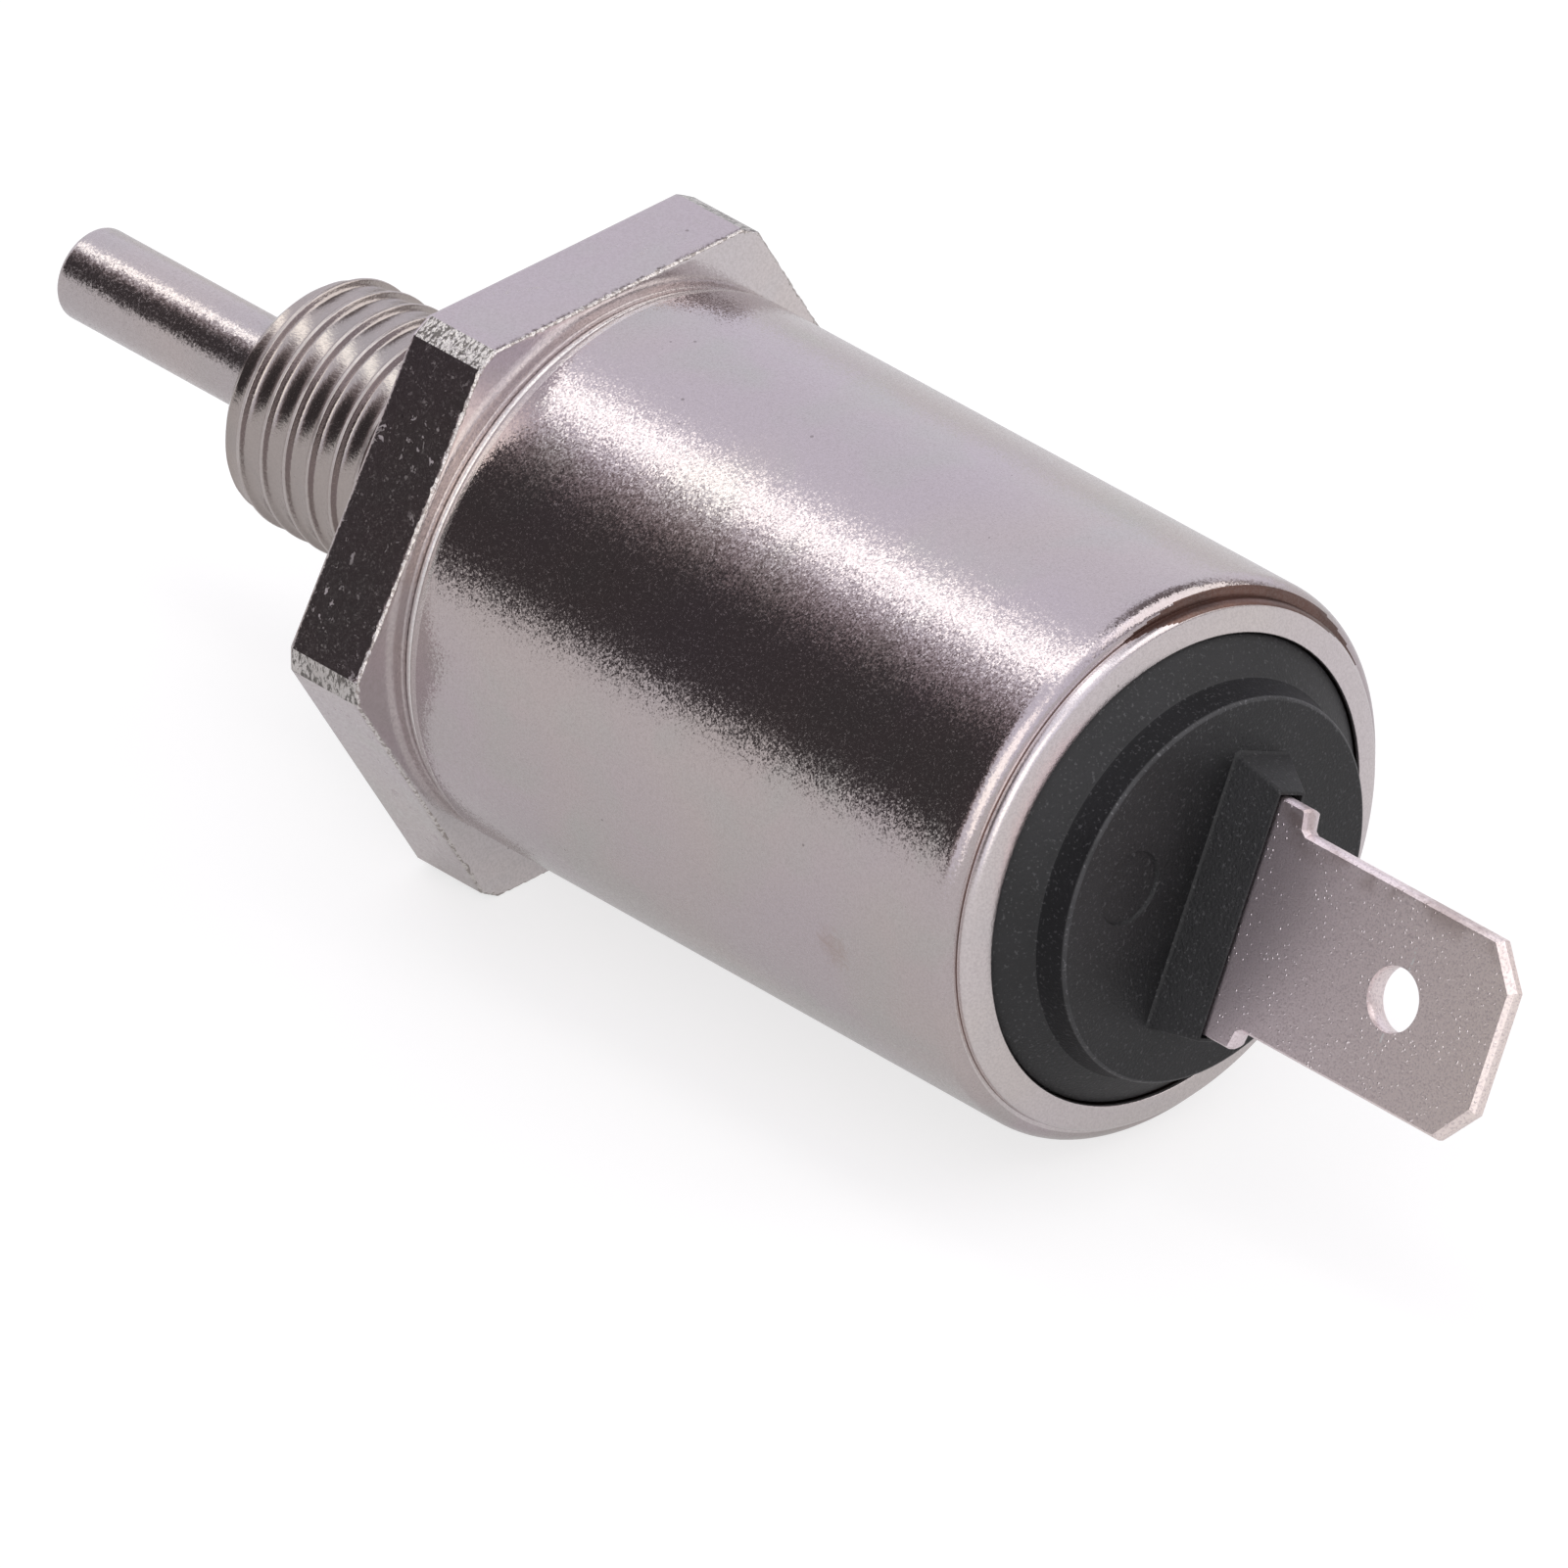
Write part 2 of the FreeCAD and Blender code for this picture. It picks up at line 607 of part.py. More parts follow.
def make_end_cap():
    """Moulded cap: rim under the crimp, cone, raised disc, and a wedge slotted for the terminal."""
    body = new_body("end_cap")
    recess_r = CAN_SLIP_R - L["cap_rim_width"]
    turned = add_revolution(body, "cap_form", [
        (CAP_CEILING_X, ZERO),
        (CAP_CEILING_X, recess_r),
        (CAP_RIM_FRONT_X, recess_r),
        (CAP_RIM_FRONT_X, CAN_SLIP_R),
        (CAP_RIM_REAR_X, CAN_SLIP_R),
        (CAP_RIM_REAR_X, CAP_NECK_R),
        (CAP_CONE_X, CAP_NECK_R),
        (CAP_LEDGE_X, CAP_LEDGE_R),
        (CAP_DISC_X, CAP_DISC_R),
        (CAP_DISC_X, ZERO),
    ])
    rim = ring_edges(turned.Shape, [(CAP_DISC_X, CAP_DISC_R)])
    dress_edges(body, "Chamfer", "disc_edge", turned, rim, L["cap_disc_edge"])

    front_y = -(L["tab_front_offset"] + L["tab_slot_clearance"] + L["wedge_front_wall"])
    slot_front_y = -(L["tab_front_offset"] + L["tab_slot_clearance"])
    slot_back_y = slot_front_y + L["tab_thickness"] + L["tab_slot_clearance"] * 2
    top_back_y = slot_back_y + L["wedge_back_wall"]
    base_half = L["wedge_base_width"] * HALF
    seat_half = L["tab_shoulder_width"] * HALF + L["tab_slot_clearance"]
    top_half = seat_half + L["wedge_end_wall"]
    base = new_sketch(body, "wedge_base", "YZ_Plane", CAP_DISC_X)
    draw_rectangle(base, (front_y, front_y + L["wedge_base_depth"]), (-base_half, base_half))
    top = new_sketch(body, "wedge_top", "YZ_Plane", WEDGE_TOP_X)
    draw_rectangle(top, (front_y, top_back_y), (-top_half, top_half))
    wedge = body.newObject("PartDesign::AdditiveLoft", "terminal_wedge")
    wedge.Profile = base
    wedge.Sections = [top]
    wedge.Ruled = True
    DOC.recompute()
    corners = [
        f"Edge{index}"
        for index, edge in enumerate(wedge.Shape.Edges, start=1)
        if is_wedge_corner(edge)
    ]
    dress_edges(body, "Fillet", "wedge_corners", wedge, corners, L["wedge_round"])

    seat = new_sketch(body, "shoulder_seat_outline", "YZ_Plane", TAB_SEAT_X)
    draw_rectangle(seat, (slot_front_y, slot_back_y), (-seat_half, seat_half))
    add_extrusion(body, "Pocket", "shoulder_seat", seat, L["wedge_height"], reverse=True)
    stem_half = L["tab_stem_width"] * HALF + L["tab_slot_clearance"]
    slot = new_sketch(body, "stem_slot_outline", "YZ_Plane", CAP_CEILING_X)
    draw_rectangle(slot, (slot_front_y, slot_back_y), (-stem_half, stem_half))
    slot_depth = WEDGE_TOP_X - CAP_CEILING_X
    add_extrusion(body, "Pocket", "stem_slot", slot, slot_depth, reverse=True)
    mark_x = CAP_DISC_X - L["mark_depth"]
    cut_hole(body, "ejector_mark", L["mark_radius"], -L["mark_offset"], ZERO, mark_x, L["mark_depth"] * 2)
    lean(body)
    return body


def is_wedge_corner(edge):
    """True for the four edges that run from the wedge's base to its top."""
    stations = sorted(vertex.Point.x for vertex in edge.Vertexes)
    if len(stations) != 2:
        return False
    at_base = abs(stations[0] - float(CAP_DISC_X)) < 1e-5
    return at_base and abs(stations[1] - float(WEDGE_TOP_X)) < 1e-5


def make_terminal_tab():
    """Stamped spade terminal: stem, shoulders, blade with a clipped tip and a latch hole."""
    body = new_body("terminal_tab")
    back_y = L["tab_front_offset"] - L["tab_thickness"]
    outline = new_sketch(body, "tab_outline", "XZ_Plane", back_y)
    half = L["tab_width"] * HALF
    shoulder = L["tab_shoulder_width"] * HALF
    stem = L["tab_stem_width"] * HALF
    tip = half - L["tab_tip_chamfer_side"]
    upper = [
        (TAB_STEM_X, stem),
        (TAB_SEAT_X, stem),
        (TAB_SEAT_X, shoulder),
        (TAB_SHOULDER_X, shoulder),
        (TAB_SHOULDER_X + L["tab_shoulder_slope"], half),
        (TAB_TIP_X - L["tab_tip_chamfer_axial"], half),
        (TAB_TIP_X, tip),
    ]
    lower = [(station, -up) for station, up in reversed(upper)]
    draw_outline(outline, upper + lower)
    draw_circle(outline, L["tab_hole_radius"], TAB_TIP_X - L["tab_hole_from_tip"])
    draw_circle(outline, L["lead_radius"], TAB_LEAD_HOLE_X)
    blank = add_extrusion(body, "Pad", "stamped_blank", outline, L["tab_thickness"])
    rim = [
        f"Edge{index}"
        for index, edge in enumerate(blank.Shape.Edges, start=1)
        if is_blade_rim(edge)
    ]
    dress_edges(body, "Fillet", "blade_edges", blank, rim, L["tab_edge_break"])
    lean(body)
    return body


def is_blade_rim(edge):
    """True for the straight edges that bound the blade's two faces beyond the shoulders."""
    if len(edge.Vertexes) != 2 or isinstance(edge.Curve, Part.Circle):
        return False
    first, second = (vertex.Point for vertex in edge.Vertexes)
    beyond = min(first.x, second.x) > float(WEDGE_TOP_X)
    return beyond and abs(first.y - second.y) < 1e-5


def sweep_wire(label, points, bend_radius, radius):
    """A round wire along straight runs in the body's XY plane, joined by tangent bends."""
    body = new_body(label)
    path = new_sketch(body, f"{label}_path", "XY_Plane")
    start, corner, end = points
    bend = float(bend_radius)
    side = 1.0 if float(end[1]) > float(corner[1]) else -1.0
    turn_in = (corner[0] - bend_radius, corner[1])
    turn_out = (corner[0], corner[1] + bend_radius * side)
    path.addGeometry(Part.LineSegment(flat(start), flat(turn_in)))
    centre = Vector(float(turn_in[0]), float(turn_out[1]), 0)
    middle = centre + Vector(math.sqrt(HALF) * bend, -side * math.sqrt(HALF) * bend, 0)
    path.addGeometry(Part.Arc(flat(turn_in), middle, flat(turn_out)))
    path.addGeometry(Part.LineSegment(flat(turn_out), flat(end)))
    arc_start, arc_end = (1, 2) if side > 0 else (2, 1)
    path.addConstraint(Sketcher.Constraint("Coincident", 0, 2, 1, arc_start))
    path.addConstraint(Sketcher.Constraint("Coincident", 1, arc_end, 2, 1))
    for geometry, vertex, place in ((0, 1, start), (0, 2, turn_in), (2, 1, turn_out), (2, 2, end)):
        fix_distance(path, "DistanceX", geometry, vertex, place[0])
        fix_distance(path, "DistanceY", geometry, vertex, place[1])
    fix_distance(path, "DistanceX", 1, 3, turn_in[0])
    section = new_sketch(body, f"{label}_section", "YZ_Plane", start[0])
    draw_circle(section, radius, start[1])
    wire = body.newObject("PartDesign::AdditivePipe", f"{label}_wire")
    wire.Profile = section
    wire.Spine = (path, ["Edge1", "Edge2", "Edge3"])
    DOC.recompute()
    lean(body)
    return body


def flat(place):
    return Vector(float(place[0]), float(place[1]), 0)


def make_start_lead():
    """From the winding to the terminal's stem, through its hole."""
    back_y = L["tab_thickness"] - L["tab_front_offset"] + L["lead_end_proud"]
    points = [
        (WINDING_REAR_X, -L["lead_offset"]),
        (TAB_LEAD_HOLE_X, -L["lead_offset"]),
        (TAB_LEAD_HOLE_X, back_y),
    ]
    return sweep_wire("start_lead", points, L["lead_bend_radius"], L["lead_radius"])


def make_ground_lead():
    """From the winding through the bobbin's flange, bent flat against the rear flux washer."""
    rest_x = FLUX_FRONT_X - L["lead_radius"]
    foot_y = L["lead_offset"] + L["ground_lead_foot"] + L["lead_radius"]
    points = [(WINDING_REAR_X, L["lead_offset"]), (rest_x, L["lead_offset"]), (rest_x, foot_y)]
    return sweep_wire("ground_lead", points, L["ground_lead_bend_radius"], L["lead_radius"])


def make_lead_sleeve():
    """Insulating sleeve on the straight stretch of the start lead."""
    body = new_body("lead_sleeve")
    tube = new_sketch(body, "sleeve_section", "YZ_Plane", WINDING_REAR_X)
    draw_circle(tube, SLEEVE_R, -L["lead_offset"])
    draw_circle(tube, L["lead_radius"], -L["lead_offset"])
    length = DISC_REAR_X - WINDING_REAR_X
    add_extrusion(body, "Pad", "sleeve_tube", tube, length)
    lean(body)
    return body


def make_all():
    """Every sub-part, from the pin's tip to the terminal."""
    parts = [make_hex_body(), make_shell_can(), make_valve_pin(), make_plunger(), make_return_spring()]
    stop_inner = L["pin_radius"] + L["stop_washer_side_gap"]
    shim_outer = POLE_R - L["shim_side_gap"]
    tape_r = WINDING_R + L["tape_thickness"]
    gasket_inner = CAN_SLIP_R - L["gasket_width"]
    seal_outer = TUBE_OUTER_R + L["seal_ring_section"]
    seal_end = BOBBIN_FRONT_X + L["seal_ring_section"]
    rings = [
        ("stop_washer", STOP_SEAT_X, TUBE_FRONT_X, stop_inner, TUBE_OUTER_R),
        ("guide_tube", TUBE_FRONT_X, TUBE_REAR_X, TUBE_INNER_R, TUBE_OUTER_R),
        ("anti_stick_shim", SHIM_FRONT_X, POLE_FRONT_X, L["spring_bore_radius"], shim_outer),
        ("front_insulator", SPIGOT_END_X, BOBBIN_FRONT_X, BOBBIN_BORE_R, BOBBIN_FLANGE_R),
        ("front_seal_ring", BOBBIN_FRONT_X, seal_end, TUBE_OUTER_R, seal_outer),
        ("coil_winding", WINDING_FRONT_X, WINDING_REAR_X, BOBBIN_CORE_R, WINDING_R),
        ("coil_tape", WINDING_FRONT_X, WINDING_REAR_X, WINDING_R, tape_r),
        ("cap_gasket", DISC_REAR_X, CAP_RIM_FRONT_X, gasket_inner, CAN_SLIP_R),
    ]
    for label, start, end, inner, outer in rings:
        body, _ = make_ring(label, start, end, inner, outer)
        parts.append(body)
    parts += [make_pole_piece(), make_bobbin(), make_spring_washer()]
    parts += [make_rear_flux_washer(), make_insulating_disc(), make_end_cap(), make_terminal_tab()]
    parts += [make_start_lead(), make_lead_sleeve(), make_ground_lead()]
    return parts


def check_document(parts):
    """Stop if any object failed to recompute or any sub-part is not one valid solid."""
    for item in DOC.Objects:
        if "Invalid" in item.State or "Error" in item.State:
            raise RuntimeError(f"{item.Name} failed: {item.State}")
    for item in parts:
        shape = item.Shape
        if shape.isNull() or not shape.isValid() or len(shape.Solids) != 1:
            raise RuntimeError(f"{item.Label} is not one valid solid")


def main():
    parts = make_all()
    DOC.recompute()
    check_document(parts)
    os.makedirs("parts", exist_ok=True)
    for item in parts:
        item.Shape.exportStep(f"parts/{item.Label}.step")
        box = item.Shape.BoundBox
        print(f"{item.Label:18s} x {box.XMin:7.2f} to {box.XMax:6.2f}  volume {item.Shape.Volume:8.1f}")


main()
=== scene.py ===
import math

import bmesh
import bpy
from mathutils import Matrix, Vector, noise


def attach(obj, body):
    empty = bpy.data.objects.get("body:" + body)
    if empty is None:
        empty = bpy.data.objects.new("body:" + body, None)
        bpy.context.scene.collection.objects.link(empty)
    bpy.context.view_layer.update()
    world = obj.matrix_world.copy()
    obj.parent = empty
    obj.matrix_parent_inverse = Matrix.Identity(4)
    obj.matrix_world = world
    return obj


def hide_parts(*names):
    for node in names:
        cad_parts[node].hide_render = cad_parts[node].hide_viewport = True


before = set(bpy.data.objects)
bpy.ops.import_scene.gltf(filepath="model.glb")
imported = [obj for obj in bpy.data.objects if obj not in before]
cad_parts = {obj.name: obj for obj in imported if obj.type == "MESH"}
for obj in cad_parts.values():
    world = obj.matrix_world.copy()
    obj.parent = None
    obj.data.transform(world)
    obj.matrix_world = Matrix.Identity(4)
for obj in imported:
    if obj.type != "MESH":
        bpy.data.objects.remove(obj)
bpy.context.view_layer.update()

# Fuel shutoff solenoid. The imported solids give every size; this script adds the thread, the rolled
# rim, worn edges that are also painted bright as highlights, and the surfaces. The shapes below are in
# millimetres, in the frame of the solids.

MM = 0.001

# Sizes shared with the solids
THREAD_R = 4.0
THREAD_LENGTH = 10.6
THREAD_LEAD = 0.55
THREAD_PITCH = 1.0
PIN_BORE_R = 1.56
BORE_FLOOR_X = 1.5
TUBE_SEAT_R = 3.22
HEX_FLAT_R = 9.5
HEX_CORNER_R = 10.75
HEX_THICKNESS = 2.95
SPIGOT_R = 5.0
SPIGOT_END_X = 4.65
STAKE_R = 5.6
STAKE_X = 3.85
PIN_R = 1.5
PIN_TIP_X = -20.3
PIN_END_X = 4.65
CAN_R = 9.0
CAN_INNER_R = 8.1
CAN_HOLE_R = 5.02
CAN_FRONT_X = 2.95
LIP_R = 8.45
LIP_INNER_R = 7.5
LIP_X = 26.6
CAP_RECESS_R = 6.51
CAP_CEILING_X = 25.6
CAP_FRONT_X = 24.55
CAP_RIM_R = 8.06
CAP_RIM_X = 26.05
CAP_NECK_R = 7.45
CAP_CONE_X = 26.5
CAP_LEDGE_R = 6.35
CAP_LEDGE_X = 27.25
CAP_DISC_R = 6.15
CAP_DISC_X = 28.2
WEDGE_TOP_X = 30.2
WEDGE_FRONT_Y = -1.05
WEDGE_BASE_DEPTH = 2.42
WEDGE_BASE_HALF = 4.37
WEDGE_TOP_BACK_Y = 0.1
WEDGE_TOP_HALF = 3.97
TAB_LEAN = math.radians(-24.7)
TAB_FRONT_Y = -0.9
TAB_END_X = 24.4
TAB_SEAT_X = 29.9
TAB_TIP_X = 40.6
TAB_STEM_HALF = 2.0
TAB_SHOULDER_HALF = 3.8
TAB_HALF = 3.15
LATCH_HOLE_X = 36.45
LATCH_HOLE_R = 0.95
LEAD_HOLE_X = 25.15
LEAD_HOLE_R = 0.3
FLOOR_Z = -9.5

# Places read from the photograph, which the solids don't have
BURR_X = 2.86
SHOULDER_X = 26.05
SCRATCH_X = 36.6

# The brown line on the rim, part stain and part painted shade: its ends and how they fade, in degrees from
# the top, and its reach
BROWN_START = -75
BROWN_END = 14
BROWN_START_FADE = 25
BROWN_END_FADE = 16
BROWN_REACH_X = 0.36
BROWN_REACH_R = 0.3

LEAN = Matrix.Rotation(TAB_LEAN, 4, "X")


# Camera: the photograph's viewing angle and framing

VIEW_AZIMUTH = math.radians(46.3)
VIEW_ELEVATION = math.radians(32.0)
VIEW_CENTRE = Vector((7.383, 2.446, -6.763)) * MM
VIEW_DISTANCE = 1.0378
VIEW_LENS = 800


def add_camera():
    back = Vector((
        math.sin(VIEW_AZIMUTH) * math.cos(VIEW_ELEVATION),
        -math.cos(VIEW_AZIMUTH) * math.cos(VIEW_ELEVATION),
        math.sin(VIEW_ELEVATION),
    ))
    data = bpy.data.cameras.new("photo_camera")
    data.lens = VIEW_LENS
    data.clip_start = 0.05
    data.clip_end = 20
    camera = bpy.data.objects.new("photo_camera", data)
    camera.location = VIEW_CENTRE + back * VIEW_DISTANCE
    camera.rotation_mode = "QUATERNION"
    camera.rotation_quaternion = (-back).to_track_quat("-Z", "Y")
    bpy.context.collection.objects.link(camera)
    bpy.context.scene.camera = camera


class Graph:
    """Short calls for adding and joining shader nodes."""

    def __init__(self, tree):
        self.tree = tree
        tree.nodes.clear()

    def add(self, kind, settings=None, **inputs):
        """A node with its settings and inputs, where a value may be another node's output."""
        node = self.tree.nodes.new(f"ShaderNode{kind}")
        for key, value in (settings or {}).items():
            setattr(node, key, value)
        for key, value in inputs.items():
            self.put(node.inputs[key.replace("_", " ")], value)
        return node

    def put(self, socket, value):
        if isinstance(value, bpy.types.NodeSocket):
            self.tree.links.new(value, socket)
        else:
            socket.default_value = value

    def math(self, operation, first, second=None):
        node = self.tree.nodes.new("ShaderNodeMath")
        node.operation = operation
        self.put(node.inputs[0], first)
        if second is not None:
            self.put(node.inputs[1], second)
        return node.outputs[0]

    def vector(self, operation, first, second):
        node = self.tree.nodes.new("ShaderNodeVectorMath")
        node.operation = operation
        self.put(node.inputs[0], first)
        self.put(node.inputs[1], second)
        return node.outputs["Value" if operation in ("DOT_PRODUCT", "DISTANCE") else "Vector"]

    def mix(self, factor, first, second, blend="MIX"):
        node = self.tree.nodes.new("ShaderNodeMix")
        node.data_type = "RGBA"
        node.blend_type = blend
        self.put(node.inputs["Factor"], factor)
        self.put(node.inputs[6], first)
        self.put(node.inputs[7], second)
        return node.outputs[2]

    def ramp(self, factor, stops):
        """A colour ramp through (position, colour or grey) stops."""
        node = self.tree.nodes.new("ShaderNodeValToRGB")
        elements = node.color_ramp.elements
        while len(elements) < len(stops):
            elements.new(0.5)
        for element, (position, tint) in zip(elements, stops):
            element.position = position
            element.color = tint if isinstance(tint, tuple) else (tint, tint, tint, 1)
        self.put(node.inputs["Fac"], factor)
        return node.outputs["Color"]

    def place(self, stretch=(1, 1, 1), turn=0.0):
        """Object coordinates in millimetres, stretched along each axis and turned about X."""
        coordinate = self.add("TexCoord").outputs["Object"]
        scale = [value / MM for value in stretch]
        mapping = self.add("Mapping", Vector=coordinate, Scale=scale, Rotation=(turn, 0, 0))
        return mapping.outputs["Vector"]

    def noise(self, place, scale, detail=2.0, roughness=0.5, distortion=0.0):
        node = self.add(
            "TexNoise", Vector=place, Scale=scale, Detail=detail, Roughness=roughness,
            Distortion=distortion,
        )
        return node.outputs["Fac"]

    def bump(self, height, depth, normal=None):
        """The surface moved by height times depth, in millimetres."""
        node = self.add("Bump", Height=height, Distance=depth * MM)
        if normal is not None:
            self.put(node.inputs["Normal"], normal)
        return node.outputs["Normal"]


def colour(red, green, blue):
    return (red, green, blue, 1)


DULL_TINT = colour(0.3, 0.26, 0.25)
PIT_TINT = colour(0.09, 0.07, 0.065)
STAIN_TINT = colour(0.36, 0.25, 0.2)
FLECK_TINT = colour(0.58, 0.53, 0.54)


def new_surface(name):
    """A material's graph and its Principled shader."""
    material = bpy.data.materials.new(name)
    material.use_nodes = True
    graph = Graph(material.node_tree)
    shader = graph.add("BsdfPrincipled")
    graph.add("OutputMaterial", Surface=shader.outputs["BSDF"])
    return material, graph, shader


def finish_surface(graph, shader, base, roughness, normal):
    graph.put(shader.inputs["Base Color"], base)
    graph.put(shader.inputs["Roughness"], roughness)
    graph.put(shader.inputs["Normal"], normal)


def plated_metal(
    name, tints, roughness, grain, flecks=0, streak=(1, 1, 1), matte=0.0, stain=None, ticks=None,
    crystals=None,
):
    """Plated or plain metal: slow tints, mottle, pits and grain, and the extras that are given.

    roughness is (low, high), grain (size, depth), stain (centre, reach), ticks (scale, colour) and
    crystals (size, tilt). flecks is the scale of the pale flecks, streak stretches the grain and
    matte is how much rougher its dull grains are.
    """
    material, graph, shader = new_surface(name)
    shader.inputs["Metallic"].default_value = 1
    place = graph.place()
    slow = graph.noise(place, 0.16, 1.0)
    patch = graph.noise(place, 0.31, 2.0, distortion=0.4)
    base = graph.mix(graph.ramp(slow, [(0.38, 0.0), (0.62, 1.0)]), tints[0], tints[1])
    base = graph.mix(graph.ramp(patch, [(0.5, 0.0), (0.75, 1.0)]), base, tints[2])

    mottle = graph.ramp(graph.noise(place, 13.0, 2.0, 0.7), [(0.36, 0.22), (0.6, 0.0)])
    base = graph.mix(mottle, base, DULL_TINT)

    pits = graph.add("TexVoronoi", Vector=place, Scale=0.9, Randomness=1.0)
    pit_size = graph.noise(place, 0.7, 1.0)
    pit_reach = graph.math("MULTIPLY", pit_size, 0.1)
    near_pit = graph.math("LESS_THAN", pits.outputs["Distance"], pit_reach)
    scarce = graph.math("GREATER_THAN", graph.noise(place, 0.42, 0.0), 0.56)
    pitted = graph.math("MULTIPLY", near_pit, scarce)
    base = graph.mix(graph.math("MULTIPLY", pitted, 0.45), base, PIT_TINT)

    if stain:
        centre, reach = stain
        away = graph.math("DIVIDE", graph.vector("DISTANCE", place, centre), reach)
        ragged = graph.math("ADD", away, graph.noise(place, 2.2, 3.0, 0.7, 1.5))
        stained = graph.ramp(ragged, [(0.5, 1.0), (0.9, 0.0)])
        base = graph.mix(graph.math("MULTIPLY", stained, 0.4), base, STAIN_TINT)

    size, depth = grain
    fine_place = graph.place(streak)
    if ticks:
        tick_scale, tick_colour = ticks
        tick = graph.ramp(graph.noise(fine_place, tick_scale, 2.0, 0.7), [(0.44, 1.0), (0.52, 0.0)])
        base = graph.mix(graph.math("MULTIPLY", tick, 0.85), base, tick_colour)
    fine = graph.noise(fine_place, 1 / size, 2.5, 0.75)
    coarse = graph.noise(fine_place, 0.3 / size, 1.0)
    normal = graph.bump(fine, depth)
    normal = graph.bump(coarse, depth * 0.7, normal)
    low, high = roughness
    rough = graph.add("MapRange", Value=coarse, To_Min=low, To_Max=high).outputs["Result"]
    if flecks:
        spots = graph.ramp(graph.noise(place, flecks, 3.0, 0.7, 0.6), [(0.6, 0.0), (0.66, 1.0)])
        crowd = graph.ramp(graph.noise(place, 0.5, 2.0, 0.7), [(0.45, 0.3), (0.58, 1.0)])
        fleck = graph.math("MULTIPLY", spots, crowd)
        base = graph.mix(fleck, base, FLECK_TINT)
        rough = graph.math("ADD", rough, graph.math("MULTIPLY", fleck, 0.5))
    if matte:
        grains = graph.ramp(graph.noise(place, 12.0, 3.0, 0.8), [(0.52, 0.0), (0.68, 1.0)])
        rough = graph.math("ADD", rough, graph.math("MULTIPLY", grains, matte))
    if crystals:
        crystal_size, tilt = crystals
        cells = graph.add("TexVoronoi", Vector=place, Scale=1 / crystal_size, Randomness=1.0)
        lean = graph.vector("SUBTRACT", cells.outputs["Color"], (0.5, 0.5, 0.5))
        lean = graph.vector("MULTIPLY", lean, (tilt, tilt, tilt))
        normal = graph.vector("NORMALIZE", graph.vector("ADD", normal, lean), (0, 0, 0))
    finish_surface(graph, shader, base, rough, normal)
    return material


def tinned_blade(name):
    """Tinned strip: mottled pink grey with pale specks, a brown painted shade along its upper edge and a
    scratch at the hole.
    """
    material, graph, shader = new_surface(name)
    shader.inputs["Metallic"].default_value = 1
    place = graph.place(turn=-TAB_LEAN)
    parts = graph.add("SeparateXYZ", Vector=place)
    along = graph.math("MULTIPLY", graph.math("SUBTRACT", parts.outputs["X"], 31.0), 0.1)
    base = graph.mix(along, colour(0.88, 0.775, 0.81), colour(0.93, 0.82, 0.77))
    grain = graph.noise(place, 12.0, 2.0, 0.7)
    base = graph.mix(graph.ramp(grain, [(0.34, 0.6), (0.52, 0.0)]), base, colour(0.52, 0.44, 0.455))
    specks = graph.add("TexVoronoi", Vector=place, Scale=5.4, Randomness=1.0)
    speck = graph.ramp(specks.outputs["Distance"], [(0.06, 1.0), (0.2, 0.0)])
    crowd = graph.ramp(graph.noise(place, 0.8, 3.0, 0.7), [(0.4, 0.0), (0.56, 1.0)])
    pale = graph.math("MULTIPLY", speck, crowd)
    base = graph.mix(graph.math("MULTIPLY", pale, 0.7), base, colour(1.0, 0.96, 0.95))

    # Painted shade: brown along the upper edge of the blade.
    edge = graph.ramp(graph.math("MULTIPLY", parts.outputs["Z"], 0.2), [(0.46, 0.0), (0.6, 1.0)])
    cloud = graph.ramp(graph.noise(place, 0.9, 3.0, 0.6), [(0.45, 0.0), (0.6, 1.0)])
    brown = graph.math("MULTIPLY", graph.math("MULTIPLY", edge, cloud), 0.5)
    base = graph.mix(brown, base, colour(0.34, 0.25, 0.22))

    waver = graph.math("MULTIPLY", graph.math("SUBTRACT", graph.noise(place, 2.5, 2.0), 0.5), 0.25)
    lean = graph.math("MULTIPLY", parts.outputs["Z"], 0.06)
    off_line = graph.math("SUBTRACT", graph.math("SUBTRACT", parts.outputs["X"], SCRATCH_X), lean)
    off_line = graph.math("ABSOLUTE", graph.math("ADD", off_line, waver))
    height = graph.math("ABSOLUTE", parts.outputs["Z"])
    near = graph.math("LESS_THAN", off_line, 0.035)
    beyond = graph.math("LESS_THAN", height, 1.75)
    broken = graph.math("GREATER_THAN", graph.noise(place, 5.0, 1.0), 0.45)
    scratch = graph.math("MULTIPLY", graph.math("MULTIPLY", near, beyond), broken)
    base = graph.mix(graph.math("MULTIPLY", scratch, 0.9), base, colour(1.0, 0.98, 0.97))

    normal = graph.bump(grain, 0.004)
    normal = graph.bump(graph.math("ADD", pale, scratch), 0.02, normal)
    rough = graph.add("MapRange", Value=grain, To_Min=0.5, To_Max=0.26).outputs["Result"]
    finish_surface(graph, shader, base, rough, normal)
    return material


